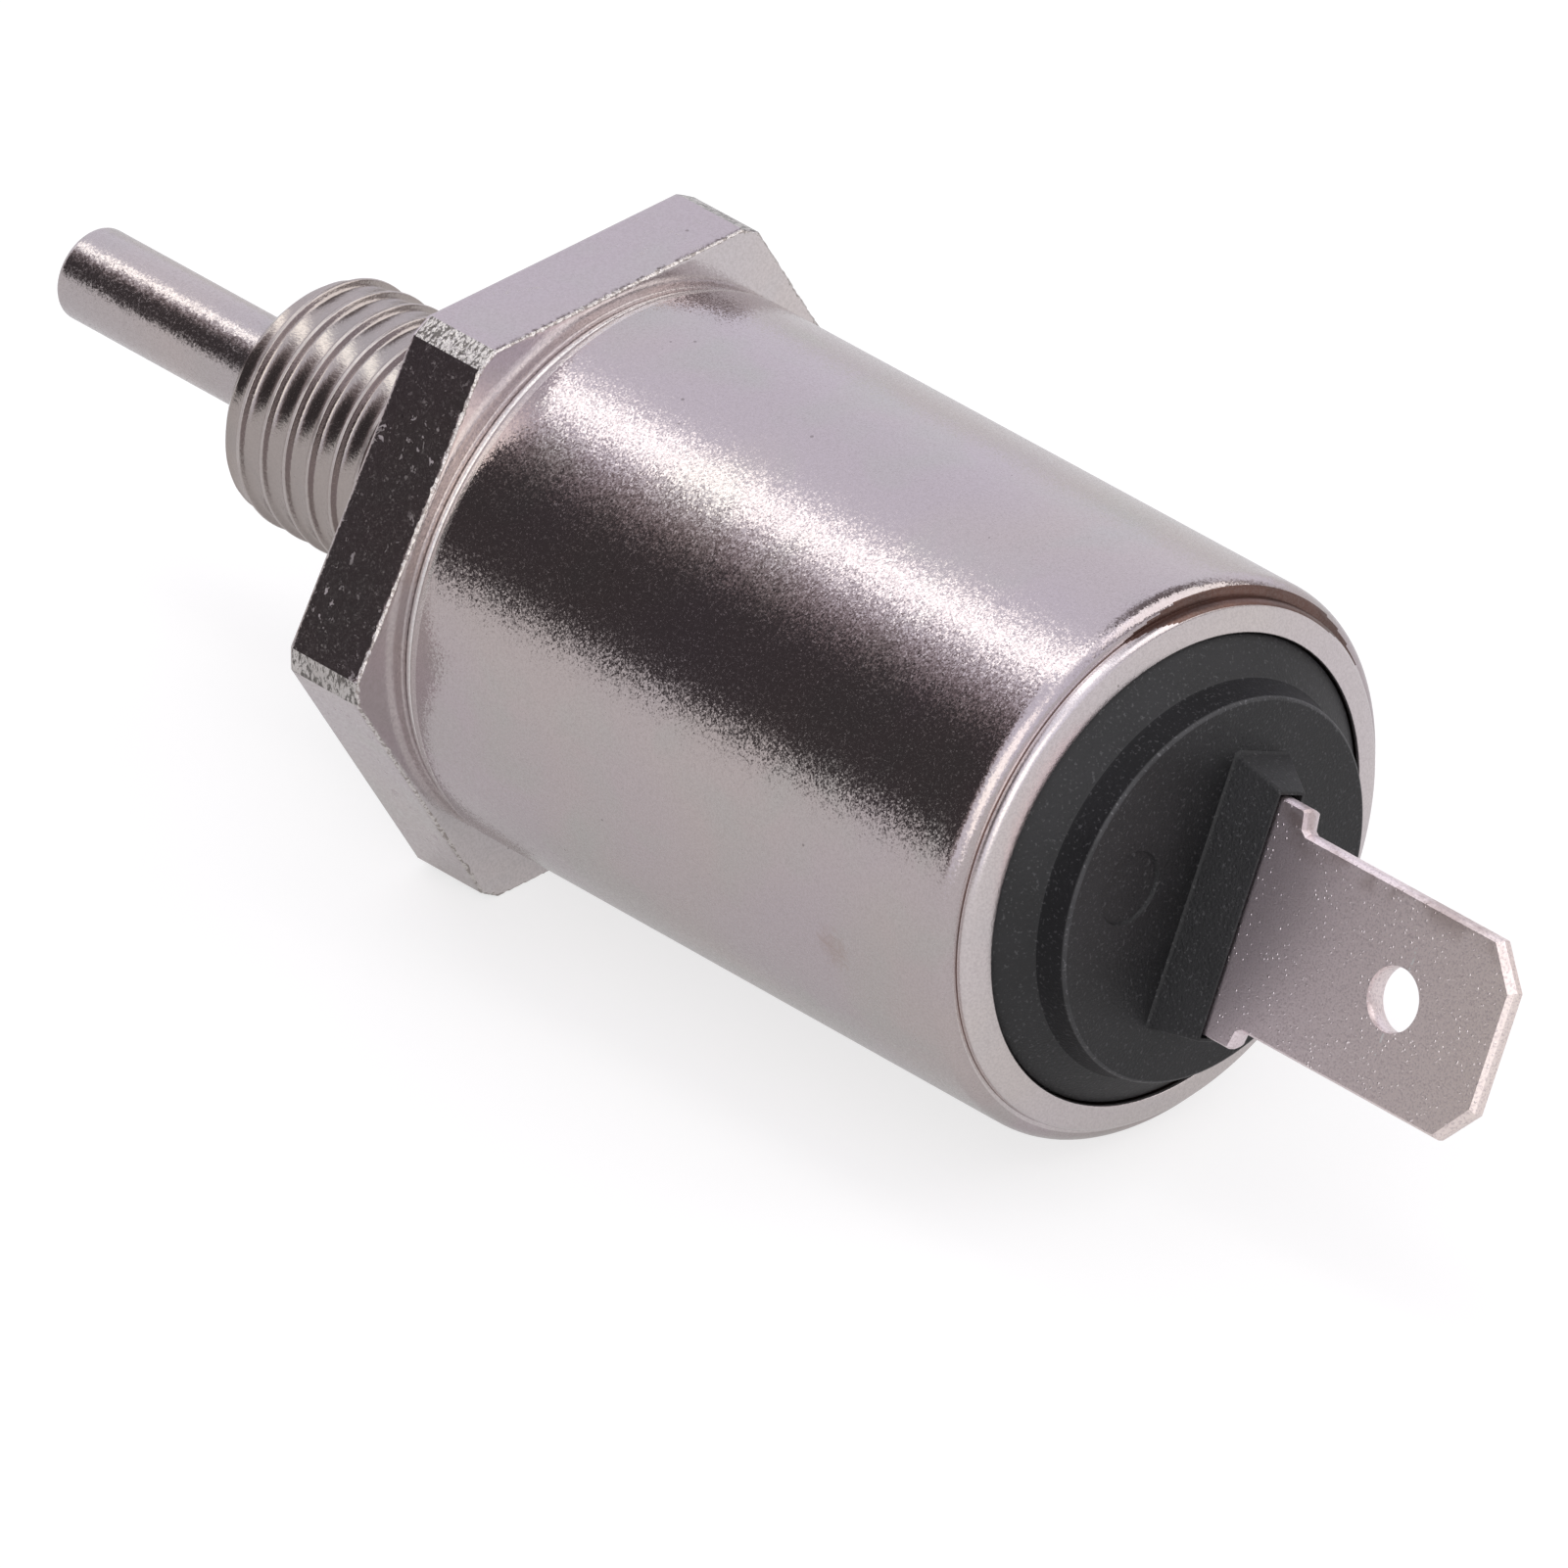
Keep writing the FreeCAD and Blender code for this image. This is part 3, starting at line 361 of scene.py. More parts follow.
def moulded(name, dark, light, roughness, grain, sheen=0.5):
    """Moulded plastic, rubber or fibre: mottled tone, fine grain and a few pale flecks."""
    material, graph, shader = new_surface(name)
    shader.inputs["Specular IOR Level"].default_value = sheen
    place = graph.place()
    cloud = graph.noise(place, 0.5, 3.0, 0.6)
    base = graph.mix(graph.ramp(cloud, [(0.35, 0.0), (0.7, 1.0)]), dark, light)
    flecks = graph.noise(place, 9.0, 1.5, 0.7)
    fleck = graph.ramp(flecks, [(0.6, 0.0), (0.7, 1.0)])
    pale = tuple(min(1.0, value * 2.6 + 0.05) for value in light[:3]) + (1,)
    base = graph.mix(graph.math("MULTIPLY", fleck, 0.6), base, pale)
    size, depth = grain
    fine = graph.noise(place, 1 / size, 2.0, 0.6)
    normal = graph.bump(fine, depth)
    low, high = roughness
    rough = graph.add("MapRange", Value=cloud, To_Min=low, To_Max=high).outputs["Result"]
    finish_surface(graph, shader, base, rough, normal)
    return material


def wound_wire(name):
    """Enamelled wire in close layers: ridges along X, each turn a little different."""
    material, graph, shader = new_surface(name)
    shader.inputs["Metallic"].default_value = 0.6
    place = graph.place()
    turns = graph.add(
        "TexWave", {"bands_direction": "X", "wave_profile": "SIN"},
        Vector=place, Scale=1.6, Distortion=0.15, Detail=0.0,
    )
    tone = graph.noise(graph.place((4, 0.3, 0.3)), 1.0, 1.0)
    base = graph.mix(tone, colour(0.33, 0.1, 0.03), colour(0.5, 0.19, 0.06))
    rough = graph.add("MapRange", Value=tone, To_Min=0.2, To_Max=0.35).outputs["Result"]
    finish_surface(graph, shader, base, rough, graph.bump(turns.outputs["Color"], 0.06))
    return material


PLATING = [colour(0.53, 0.468, 0.485), colour(0.54, 0.477, 0.467), colour(0.51, 0.482, 0.467)]
PLATED_LOOKS = {
    "can_plating": dict(
        tints=PLATING, roughness=(0.09, 0.12), grain=(0.06, 0.003), matte=0.26,
        stain=((21.36, -8.92, -1.2), 1.9), crystals=(0.052, 0.125),
    ),
    "hex_plating": dict(
        tints=PLATING, roughness=(0.1, 0.15), grain=(0.08, 0.004), flecks=2.4, matte=0.12,
        crystals=(0.07, 0.1),
    ),
    "hex_faced": dict(
        tints=[colour(0.71, 0.66, 0.67), colour(0.74, 0.68, 0.67), colour(0.68, 0.645, 0.655)],
        roughness=(0.09, 0.13), grain=(0.12, 0.004),
    ),
    "corner_plating": dict(
        tints=[colour(0.6, 0.57, 0.55), colour(0.5, 0.47, 0.45), colour(0.7, 0.67, 0.65)],
        roughness=(0.14, 0.22), grain=(0.07, 0.04), streak=(1.0, 0.45, 0.45),
        ticks=(9.0, colour(0.08, 0.07, 0.062)),
    ),
    # Brighter plating for the can's front bead: worn edge and painted highlight.
    "rubbed_edge_painted_highlight": dict(
        tints=[colour(0.74, 0.7, 0.69), colour(0.7, 0.66, 0.64), colour(0.78, 0.74, 0.73)],
        roughness=(0.18, 0.26), grain=(0.1, 0.016),
    ),
    # Brighter plating for the hexagon's rear burr: a real ragged edge, painted bright as a highlight.
    "burr_painted_highlight": dict(
        tints=[colour(0.74, 0.7, 0.68), colour(0.66, 0.62, 0.59), colour(0.8, 0.76, 0.74)],
        roughness=(0.2, 0.3), grain=(0.09, 0.03), ticks=(5.5, colour(0.34, 0.3, 0.28)),
    ),
    "rim_plating": dict(
        tints=[colour(0.7, 0.64, 0.65), colour(0.71, 0.65, 0.635), colour(0.68, 0.63, 0.63)],
        roughness=(0.22, 0.28), grain=(0.1, 0.006),
    ),
    # Dark brown: painted shade in the rim's crease and inside the lip, and the brown line, part stain and
    # part painted shade.
    "rim_stain_and_painted_shade": dict(
        tints=[colour(0.13, 0.08, 0.068), colour(0.18, 0.1, 0.08), colour(0.1, 0.07, 0.062)],
        roughness=(0.3, 0.4), grain=(0.1, 0.01),
    ),
    "thread_plating": dict(
        tints=[colour(0.42, 0.375, 0.355), colour(0.44, 0.385, 0.35), colour(0.38, 0.355, 0.34)],
        roughness=(0.12, 0.18), grain=(0.1, 0.008), matte=0.15,
    ),
    "thread_crest": dict(
        tints=[colour(0.56, 0.51, 0.49), colour(0.44, 0.39, 0.36), colour(0.72, 0.67, 0.65)],
        roughness=(0.3, 0.4), grain=(0.1, 0.012),
    ),
    "pin_steel": dict(
        tints=[colour(0.5, 0.46, 0.47), colour(0.54, 0.48, 0.47), colour(0.47, 0.45, 0.44)],
        roughness=(0.12, 0.17), grain=(0.08, 0.006), matte=0.36, crystals=(0.065, 0.12),
    ),
    "core_iron": dict(
        tints=[colour(0.4, 0.39, 0.38), colour(0.44, 0.42, 0.4), colour(0.37, 0.35, 0.33)],
        roughness=(0.3, 0.42), grain=(0.1, 0.012), streak=(1, 0.2, 0.2),
    ),
    "spring_steel": dict(
        tints=[colour(0.45, 0.45, 0.46), colour(0.5, 0.49, 0.48), colour(0.42, 0.41, 0.4)],
        roughness=(0.18, 0.28), grain=(0.08, 0.005),
    ),
    "brass": dict(
        tints=[colour(0.66, 0.45, 0.17), colour(0.7, 0.5, 0.21), colour(0.58, 0.38, 0.14)],
        roughness=(0.2, 0.32), grain=(0.09, 0.008), streak=(0.3, 1, 1),
    ),
}
MOULDED_LOOKS = {
    "cap_plastic": dict(
        dark=colour(0.007, 0.007, 0.0074), light=colour(0.014, 0.0138, 0.0148), roughness=(0.5, 0.62),
        grain=(0.1, 0.03),
    ),
    # Lighter plastic for the disc's rounded edge: a painted highlight.
    "cap_edge_painted_highlight": dict(
        dark=colour(0.018, 0.018, 0.019), light=colour(0.05, 0.049, 0.052), roughness=(0.4, 0.55),
        grain=(0.1, 0.03),
    ),
    # Darker, duller plastic for the disc's wall: painted shade.
    "cap_wall_painted_shade": dict(
        dark=colour(0.004, 0.004, 0.0048), light=colour(0.008, 0.0075, 0.009), roughness=(0.5, 0.62),
        grain=(0.1, 0.03), sheen=0.23,
    ),
    "bobbin_plastic": dict(
        dark=colour(0.05, 0.045, 0.04), light=colour(0.075, 0.066, 0.055), roughness=(0.4, 0.5),
        grain=(0.2, 0.01),
    ),
    "rubber": dict(
        dark=colour(0.012, 0.012, 0.012), light=colour(0.02, 0.02, 0.02), roughness=(0.6, 0.75),
        grain=(0.15, 0.02),
    ),
    "fibre": dict(
        dark=colour(0.2, 0.055, 0.03), light=colour(0.28, 0.09, 0.05), roughness=(0.6, 0.8),
        grain=(0.15, 0.03),
    ),
    "coil_tape": dict(
        dark=colour(0.5, 0.3, 0.05), light=colour(0.6, 0.38, 0.08), roughness=(0.25, 0.4),
        grain=(0.3, 0.01),
    ),
    "sleeve_plastic": dict(
        dark=colour(0.55, 0.53, 0.48), light=colour(0.65, 0.63, 0.58), roughness=(0.4, 0.55),
        grain=(0.2, 0.01),
    ),
}
SURFACES = {name: plated_metal(name, **look) for name, look in PLATED_LOOKS.items()}
SURFACES.update({name: moulded(name, **look) for name, look in MOULDED_LOOKS.items()})
SURFACES["tinned_terminal"] = tinned_blade("tinned_terminal")
SURFACES["magnet_wire"] = wound_wire("magnet_wire")

NODE_SURFACES = {
    "hex_body": "hex_plating",
    "shell_can": "can_plating",
    "valve_pin": "pin_steel",
    "plunger": "core_iron",
    "return_spring": "spring_steel",
    "stop_washer": "rubber",
    "guide_tube": "brass",
    "anti_stick_shim": "brass",
    "front_insulator": "fibre",
    "coil_winding": "magnet_wire",
    "coil_tape": "coil_tape",
    "cap_gasket": "rubber",
    "pole_piece": "core_iron",
    "bobbin": "bobbin_plastic",
    "front_seal_ring": "rubber",
    "spring_washer": "spring_steel",
    "rear_flux_washer": "core_iron",
    "insulating_disc": "fibre",
    "end_cap": "cap_plastic",
    "terminal_tab": "tinned_terminal",
    "start_lead": "magnet_wire",
    "lead_sleeve": "sleeve_plastic",
    "ground_lead": "magnet_wire",
}


def dress_nodes():
    """Gives every solid its surface, also those that a piece stands for."""
    for name, surface in NODE_SURFACES.items():
        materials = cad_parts[name].data.materials
        materials.clear()
        materials.append(SURFACES[surface])


def arc(centre_x, centre_r, radius, start, end, steps):
    """Points (x, r) of an arc of a turned outline, from start to end in degrees from +X."""
    return ellipse_arc(centre_x, centre_r, radius, radius, start, end, steps)


def ellipse_arc(centre_x, centre_r, half_x, half_r, start, end, steps):
    """Points (x, r) along an ellipse, from start to end in degrees from +X."""
    points = []
    for step in range(steps + 1):
        angle = math.radians(start + (end - start) * step / steps)
        points.append((centre_x + half_x * math.cos(angle), centre_r + half_r * math.sin(angle)))
    return points


def lathe(mesh, outline, segments, closed=True):
    """Turns an outline of (x, r) points round X into a bmesh and returns its rings of vertices."""
    rings = []
    for x, radius in outline:
        if radius == 0:
            rings.append([mesh.verts.new((x, 0, 0))] * segments)
            continue
        ring = []
        for step in range(segments):
            angle = 2 * math.pi * step / segments
            ring.append(mesh.verts.new((x, radius * math.cos(angle), radius * math.sin(angle))))
        rings.append(ring)
    pairs = list(zip(rings, rings[1:]))
    if closed:
        pairs.append((rings[-1], rings[0]))
    for first, second in pairs:
        join_rings(mesh, first, second)
    return rings


def join_rings(mesh, first, second, material=0):
    count = len(first)
    for step in range(count):
        after = (step + 1) % count
        corners = []
        for vertex in (first[step], first[after], second[after], second[step]):
            if vertex not in corners:
                corners.append(vertex)
        if len(corners) > 2:
            face = mesh.faces.new(corners)
            face.material_index = material


def loop_edges(mesh, ring):
    """The edges of a closed ring of vertices, made where they are missing."""
    edges = []
    for first, second in zip(ring, ring[1:] + ring[:1]):
        edges.append(mesh.edges.get((first, second)) or mesh.edges.new((first, second)))
    return edges


def fill_between(mesh, rings, normal):
    """A flat face with holes, between an outer ring and the inner ones."""
    edges = [edge for ring in rings for edge in loop_edges(mesh, ring)]
    bmesh.ops.triangle_fill(mesh, use_beauty=True, edges=edges, normal=normal)


def finish_piece(name, mesh, surfaces, body, nodes, sharp=28):
    """Turns a bmesh in millimetres into a piece that rides a body and stands for CAD nodes.

    Edges that turn by more than sharp, in degrees, aren't shaded smooth.
    """
    bmesh.ops.remove_doubles(mesh, verts=mesh.verts, dist=1e-5)
    bmesh.ops.recalc_face_normals(mesh, faces=mesh.faces)
    bmesh.ops.scale(mesh, vec=(MM, MM, MM), verts=mesh.verts)
    data = bpy.data.meshes.new(name)
    mesh.to_mesh(data)
    mesh.free()
    for surface in surfaces:
        data.materials.append(SURFACES[surface])
    data.shade_smooth()
    data.set_sharp_from_angle(angle=math.radians(sharp))
    piece = bpy.data.objects.new(name, data)
    bpy.context.collection.objects.link(piece)
    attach(piece, body)
    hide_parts(*nodes)


# Half of the rolled thread's outline: distance from the crest and depth, for a pitch of 1 mm
THREAD_OUTLINE = [
    (0.0, 0.01), (0.025, 0.0), (0.04, 0.004), (0.055, 0.016), (0.077, 0.05), (0.11, 0.11), (0.137, 0.155),
    (0.16, 0.18), (0.18, 0.195), (0.21, 0.208), (0.26, 0.222), (0.33, 0.234), (0.41, 0.241), (0.5, 0.243),
]


def thread_radius(turn):
    """Radius of the thread at a fraction of one turn: a thin crest over a wide shallow valley."""
    across = abs((turn + 0.5) % 1.0 - 0.5)
    for (start, start_depth), (end, end_depth) in zip(THREAD_OUTLINE, THREAD_OUTLINE[1:]):
        if across <= end:
            share = (across - start) / (end - start)
            return THREAD_R - start_depth - (end_depth - start_depth) * share


def add_thread(mesh, valley_material, crest_material):
    """One helix whose rows of vertices follow the crest and the root."""
    segments = 144
    crest_band = 0.025
    waviness = 0.006
    samples = sorted({round(value % 1.0, 4) for stop, _ in THREAD_OUTLINE for value in (stop, -stop)})
    turns = int(THREAD_LENGTH / THREAD_PITCH) + 2
    rows = [turn + sample for turn in range(-turns, 1) for sample in samples]
    rings = []
    for row in rows:
        ring = []
        for step in range(segments + 1):
            angle = 2 * math.pi * step / segments
            x = (row + step / segments) * THREAD_PITCH
            x = min(0.0, max(-THREAD_LENGTH, x))
            radius = thread_radius(x / THREAD_PITCH - step / segments)
            radius += waviness * noise.noise(Vector((x * 2.0, math.cos(angle) * 3, math.sin(angle) * 3)))
            radius = min(radius, THREAD_R, THREAD_R - THREAD_LEAD + x + THREAD_LENGTH)
            ring.append(mesh.verts.new((x, radius * math.cos(angle), radius * math.sin(angle))))
        rings.append(ring)
    for first, second in zip(rings, rings[1:]):
        for step in range(segments):
            corners = (first[step], first[step + 1], second[step + 1], second[step])
            if (corners[0].co - corners[3].co).length + (corners[1].co - corners[2].co).length < 1e-6:
                continue
            face = mesh.faces.new(corners)
            radius = math.hypot(*face.calc_center_median().yz)
            face.material_index = crest_material if radius > THREAD_R - crest_band else valley_material


def hexagon_angles():
    """Angles round the hexagon, each with the middle of its flat, or None on a turned corner."""
    reach = math.acos(HEX_FLAT_R / HEX_CORNER_R)
    flat_steps = 84
    corner_steps = 12
    angles = []
    for side in range(6):
        middle = math.radians(30 + 60 * side)
        for step in range(flat_steps):
            angles.append((middle - reach + 2 * reach * step / flat_steps, middle))
        corner = math.radians(60) - 2 * reach
        for step in range(corner_steps):
            angles.append((middle + reach + corner * step / corner_steps, None))
    return angles


def add_hexagon(mesh, flat_material, corner_material, face_material, edge_material):
    """Hexagon with turned corners, a front chamfer and a ragged rear burr painted bright as a highlight."""
    angles = hexagon_angles()
    radii = [HEX_FLAT_R / math.cos(angle - middle) if middle else HEX_CORNER_R for angle, middle in angles]

    def waver(angle, rate, across, offset):
        return noise.noise(Vector((angle * rate, across, offset)))

    def ring(x, inset, ragged=0.0, wander=0.0):
        vertices = []
        for (angle, _), radius in zip(angles, radii):
            rough = waver(angle, 34.0, x, 5.0) + 0.6 * waver(angle, 90.0, x, 1.0)
            reach = radius - inset - ragged * min(1.0, abs(rough) * 1.6)
            slow = waver(angle, 9.0, 2.0, 7.0) + 0.7 * waver(angle, 60.0, 3.0, 4.0)
            place = x - wander * min(1.0, abs(slow) * 1.5)
            vertices.append(mesh.verts.new((place, reach * math.cos(angle), reach * math.sin(angle))))
        return vertices

    def plain_ring(x, radius):
        return [
            mesh.verts.new((x, radius * math.cos(angle), radius * math.sin(angle))) for angle, _ in angles
        ]

    rings = [
        plain_ring(0.0, 3.0),
        ring(0.0, 0.12),
        ring(0.035, 0.035),
        ring(0.12, 0.0),
        ring(0.17, 0.0),
        ring(HEX_THICKNESS - 0.25, 0.0),
        ring(BURR_X + 0.03, 0.0, wander=0.11),
        ring(HEX_THICKNESS - 0.03, 0.01, 0.04, 0.05),
        ring(HEX_THICKNESS - 0.005, 0.04, 0.06),
        ring(HEX_THICKNESS, 0.06, 0.09),
        ring(HEX_THICKNESS, 0.2),
        plain_ring(HEX_THICKNESS, SPIGOT_R),
        plain_ring(STAKE_X, SPIGOT_R),
        plain_ring(STAKE_X, STAKE_R),
        plain_ring(SPIGOT_END_X, STAKE_R),
        plain_ring(SPIGOT_END_X, TUBE_SEAT_R),
        plain_ring(BORE_FLOOR_X, TUBE_SEAT_R),
        plain_ring(BORE_FLOOR_X, PIN_BORE_R),
    ]
    # Bands between the rings above, by their place in the list; the burr's bands are painted bright as a
    # highlight
    burr_highlight, faced = range(6, 9), range(9, 11)
    for place, (first, second) in enumerate(zip(rings, rings[1:])):
        material = edge_material if place in burr_highlight else face_material if place in faced else flat_material
        join_rings(mesh, first, second, material)
    for face in mesh.faces:
        centre = face.calc_center_median()
        on_side = 0.1 < centre.x < HEX_THICKNESS - 0.05
        if on_side and math.hypot(centre.y, centre.z) > HEX_CORNER_R - 0.02:
            face.material_index = corner_material


def make_hex_body():
    """Turned body: the hexagon with its spigot and bore, and the threaded boss."""
    # The burr gets bright plating as a painted highlight.
    names = ["hex_plating", "thread_plating", "corner_plating", "hex_faced", "burr_painted_highlight", "thread_crest"]
    flat, valley, corner, faced, burr_highlight, crest = range(len(names))
    mesh = bmesh.new()
    add_hexagon(mesh, flat, corner, faced, burr_highlight)
    add_thread(mesh, valley, crest)
    front = [(-THREAD_LENGTH, THREAD_R - THREAD_LEAD - 0.04), (-THREAD_LENGTH, PIN_BORE_R)]
    front += [(BORE_FLOOR_X, PIN_BORE_R)]
    lathe(mesh, front, 96, closed=False)
    finish_piece("hex_body_threaded", mesh, names, "housing", ["hex_body"])


def in_brown_line(place):
    """Whether a place on the rolled rim is in the brown line, part stain and part painted shade, which
    narrows towards both its ends.
    """
    radius = math.hypot(place.y, place.z)
    if not (SHOULDER_X - 0.25 < place.x < LIP_X - 0.1 and 8.25 < radius < 8.9):
        return False
    angle = math.degrees(math.atan2(-place.y, place.z))
    width = min(1.0, (angle - BROWN_START) / BROWN_START_FADE, (BROWN_END - angle) / BROWN_END_FADE)
    near = place.x - SHOULDER_X < BROWN_REACH_X * width and radius - LIP_R < BROWN_REACH_R * width
    return width > 0 and near


def make_can():
    """Drawn can: a beaded front corner in worn plating painted bright as a highlight, a rounded shoulder, a
    dark line painted as shade in the crease behind it and inside the lip, and the rolled lip.
    """
    side, front, stain_and_shade, rim = 0, 1, 2, 3
    strips = [
        (side, [(CAN_FRONT_X, CAN_HOLE_R), (CAN_FRONT_X, 8.7)]),
        # The front bead: worn edge and painted highlight.
        (front, arc(CAN_FRONT_X + 0.13, 8.72, 0.13, 180, 40, 6)),
        (front, arc(CAN_FRONT_X + 0.52, 8.74, 0.26, 150, 90, 6)),
        (side, [(3.6, CAN_R), (12.0, CAN_R), (20.0, CAN_R), (24.9, CAN_R)]),
        (side, ellipse_arc(SHOULDER_X - 0.6, CAN_R - 0.44, 0.6, 0.44, 90, 4, 10)),
        (rim, [(SHOULDER_X, 8.53), (SHOULDER_X, 8.49)]),
        # Painted shade: a thin dark ring in the crease behind the shoulder.
        (stain_and_shade, [(SHOULDER_X, 8.465), (SHOULDER_X + 0.035, 8.455)]),
        (rim, [(SHOULDER_X + 0.07, LIP_R)]),
        (rim, ellipse_arc(SHOULDER_X + 0.11, LIP_R - 0.25, 0.3, 0.25, 90, 14, 9)),
        (rim, [(LIP_X - 0.04, 7.85)]),
        (rim, arc(LIP_X - 0.07, LIP_INNER_R + 0.07, 0.07, 0, -60, 3)),
        # Painted shade: the lip's inner wall, dark in the gap before the cap.
        (stain_and_shade, [(LIP_X - 0.12, LIP_INNER_R), (CAP_RIM_X, LIP_INNER_R)]),
        (side, [(CAP_RIM_X, CAN_INNER_R), (STAKE_X, CAN_INNER_R), (STAKE_X, CAN_HOLE_R)]),
    ]
    outline = [point for _, points in strips for point in points]
    surfaces = [surface for surface, points in strips for _ in points]
    mesh = bmesh.new()
    rings = lathe(mesh, outline, 288)
    ring_surface = {ring[0]: surface for ring, surface in zip(rings, surfaces)}
    owner = {vertex: ring[0] for ring in rings for vertex in ring}
    for face in mesh.faces:
        face.material_index = max(ring_surface[owner[vertex]] for vertex in face.verts)
        # The brown line: part stain, part painted shade.
        if in_brown_line(face.calc_center_median()):
            face.material_index = stain_and_shade
    names = ["can_plating", "rubbed_edge_painted_highlight", "rim_stain_and_painted_shade", "rim_plating"]
    finish_piece("can_drawn", mesh, names, "housing", ["shell_can"], 40)


def make_pin():
    """Ground pin with a rounded tip."""
    outline = [(PIN_TIP_X, 0)]
    outline += arc(PIN_TIP_X + 0.25, PIN_R - 0.25, 0.25, 180, 90, 6)
    outline += [(-14.0, PIN_R), (-9.0, PIN_R), (PIN_END_X, PIN_R), (PIN_END_X, 0)]
    mesh = bmesh.new()
    lathe(mesh, outline, 128, closed=False)
    finish_piece("pin_ground", mesh, ["pin_steel"], "armature", ["valve_pin"], 40)


def rounded_rectangle(mesh, x, low, high, radius):
    """A ring of vertices round a rectangle in the terminal's own (y, z) directions."""
    steps = 4
    ring = []
    corners = [(high[0], high[1], 0), (low[0], high[1], 90), (low[0], low[1], 180), (high[0], low[1], 270)]
    for y, z, start in corners:
        centre_y = y - math.copysign(radius, y - (low[0] + high[0]) / 2)
        centre_z = z - math.copysign(radius, z)
        for step in range(steps + 1):
            angle = math.radians(start + 90 * step / steps)
            place = Vector((x, centre_y + radius * math.cos(angle), centre_z + radius * math.sin(angle)))
            ring.append(mesh.verts.new(LEAN @ place))
    return ring


def add_wedge(mesh):
    """Tapered boss with a slot for the terminal: a rounded foot, four sides and the slot's walls."""
    base_low = (WEDGE_FRONT_Y, -WEDGE_BASE_HALF)
    base_high = (WEDGE_FRONT_Y + WEDGE_BASE_DEPTH, WEDGE_BASE_HALF)
    top_low = (WEDGE_FRONT_Y, -WEDGE_TOP_HALF)
    top_high = (WEDGE_TOP_BACK_Y, WEDGE_TOP_HALF)

    def side_ring(share, grow, x):
        radius = 0.12
        low = [a + (b - a) * share for a, b in zip(base_low, top_low)]
        high = [a + (b - a) * share for a, b in zip(base_high, top_high)]
        low = (low[0] - grow, low[1] - grow)
        high = (high[0] + grow, high[1] + grow)
        return rounded_rectangle(mesh, x, low, high, radius + max(grow, -0.05))

    height = WEDGE_TOP_X - CAP_DISC_X
    rings = [
        side_ring(0.0, 0.1, CAP_DISC_X - 0.02),
        side_ring(0.02, 0.04, CAP_DISC_X + 0.03),
        side_ring(0.05, 0.0, CAP_DISC_X + 0.1),
        side_ring(1 - 0.05 / height, 0.0, WEDGE_TOP_X - 0.05),
        side_ring(1 - 0.015 / height, -0.015, WEDGE_TOP_X - 0.015),
        side_ring(1.0, -0.04, WEDGE_TOP_X),
    ]
    for first, second in zip(rings, rings[1:]):
        join_rings(mesh, first, second)
    slot_low, slot_high = (-1.0, -3.86), (-0.02, 3.86)
    slot_round, slot_depth = 0.03, 0.4
    mouth = rounded_rectangle(mesh, WEDGE_TOP_X, slot_low, slot_high, slot_round)
    inside = rounded_rectangle(mesh, WEDGE_TOP_X - slot_depth, slot_low, slot_high, slot_round)
    fill_between(mesh, [rings[-1], mouth], (1, 0, 0))
    join_rings(mesh, mouth, inside)
    mesh.faces.new(inside)


def make_cap():
    """Moulded cap: rim, cone, raised disc with a shallow ejector mark, and the terminal's wedge. The disc's
    rounded edge is painted lighter as a highlight and its wall darker as shade.
    """
    outline = [(CAP_CEILING_X, 0), (CAP_CEILING_X, CAP_RECESS_R), (CAP_FRONT_X, CAP_RECESS_R)]
    outline += [(CAP_FRONT_X, CAP_RIM_R), (CAP_RIM_X, CAP_RIM_R), (CAP_RIM_X, CAP_NECK_R)]
    outline += arc(CAP_CONE_X - 0.1, CAP_NECK_R - 0.1, 0.1, 90, 40, 3)
    outline += [(CAP_LEDGE_X - 0.06, CAP_LEDGE_R + 0.1), (CAP_LEDGE_X, CAP_LEDGE_R + 0.02)]
    outline += [(CAP_LEDGE_X + 0.06, CAP_LEDGE_R - 0.02)]
    outline += arc(CAP_DISC_X - 0.14, CAP_DISC_R - 0.14, 0.14, 84, 0, 6)
    mesh = bmesh.new()
    rings = lathe(mesh, outline, 256, closed=False)
    mark_steps = 72
    mark_y = -3.84
    mark_rings = []
    for x, radius in ((CAP_DISC_X, 1.19), (CAP_DISC_X - 0.12, 1.13)):
        ring = []
        for step in range(mark_steps):
            angle = 2 * math.pi * step / mark_steps
            place = Vector((x, mark_y + radius * math.cos(angle), radius * math.sin(angle)))
            ring.append(mesh.verts.new(LEAN @ place))
        mark_rings.append(ring)
    fill_between(mesh, [rings[-1], mark_rings[0]], (1, 0, 0))
    join_rings(mesh, mark_rings[0], mark_rings[1])
    mesh.faces.new(mark_rings[1])
    # The disc's rounded edge gets a painted highlight, its wall painted shade.
    painted_highlight_edge, painted_shade_wall = 1, 2
    for face in mesh.faces:
        centre = face.calc_center_median()
        if CAP_DISC_R - 0.13 < math.hypot(centre.y, centre.z) < CAP_LEDGE_R:
            if CAP_DISC_X - 0.09 < centre.x < CAP_DISC_X - 0.005:
                face.material_index = painted_highlight_edge
            elif CAP_LEDGE_X < centre.x < CAP_DISC_X - 0.12:
                face.material_index = painted_shade_wall
    add_wedge(mesh)
    names = ["cap_plastic", "cap_edge_painted_highlight", "cap_wall_painted_shade"]
    finish_piece("cap_moulded", mesh, names, "housing", ["end_cap"], 35)


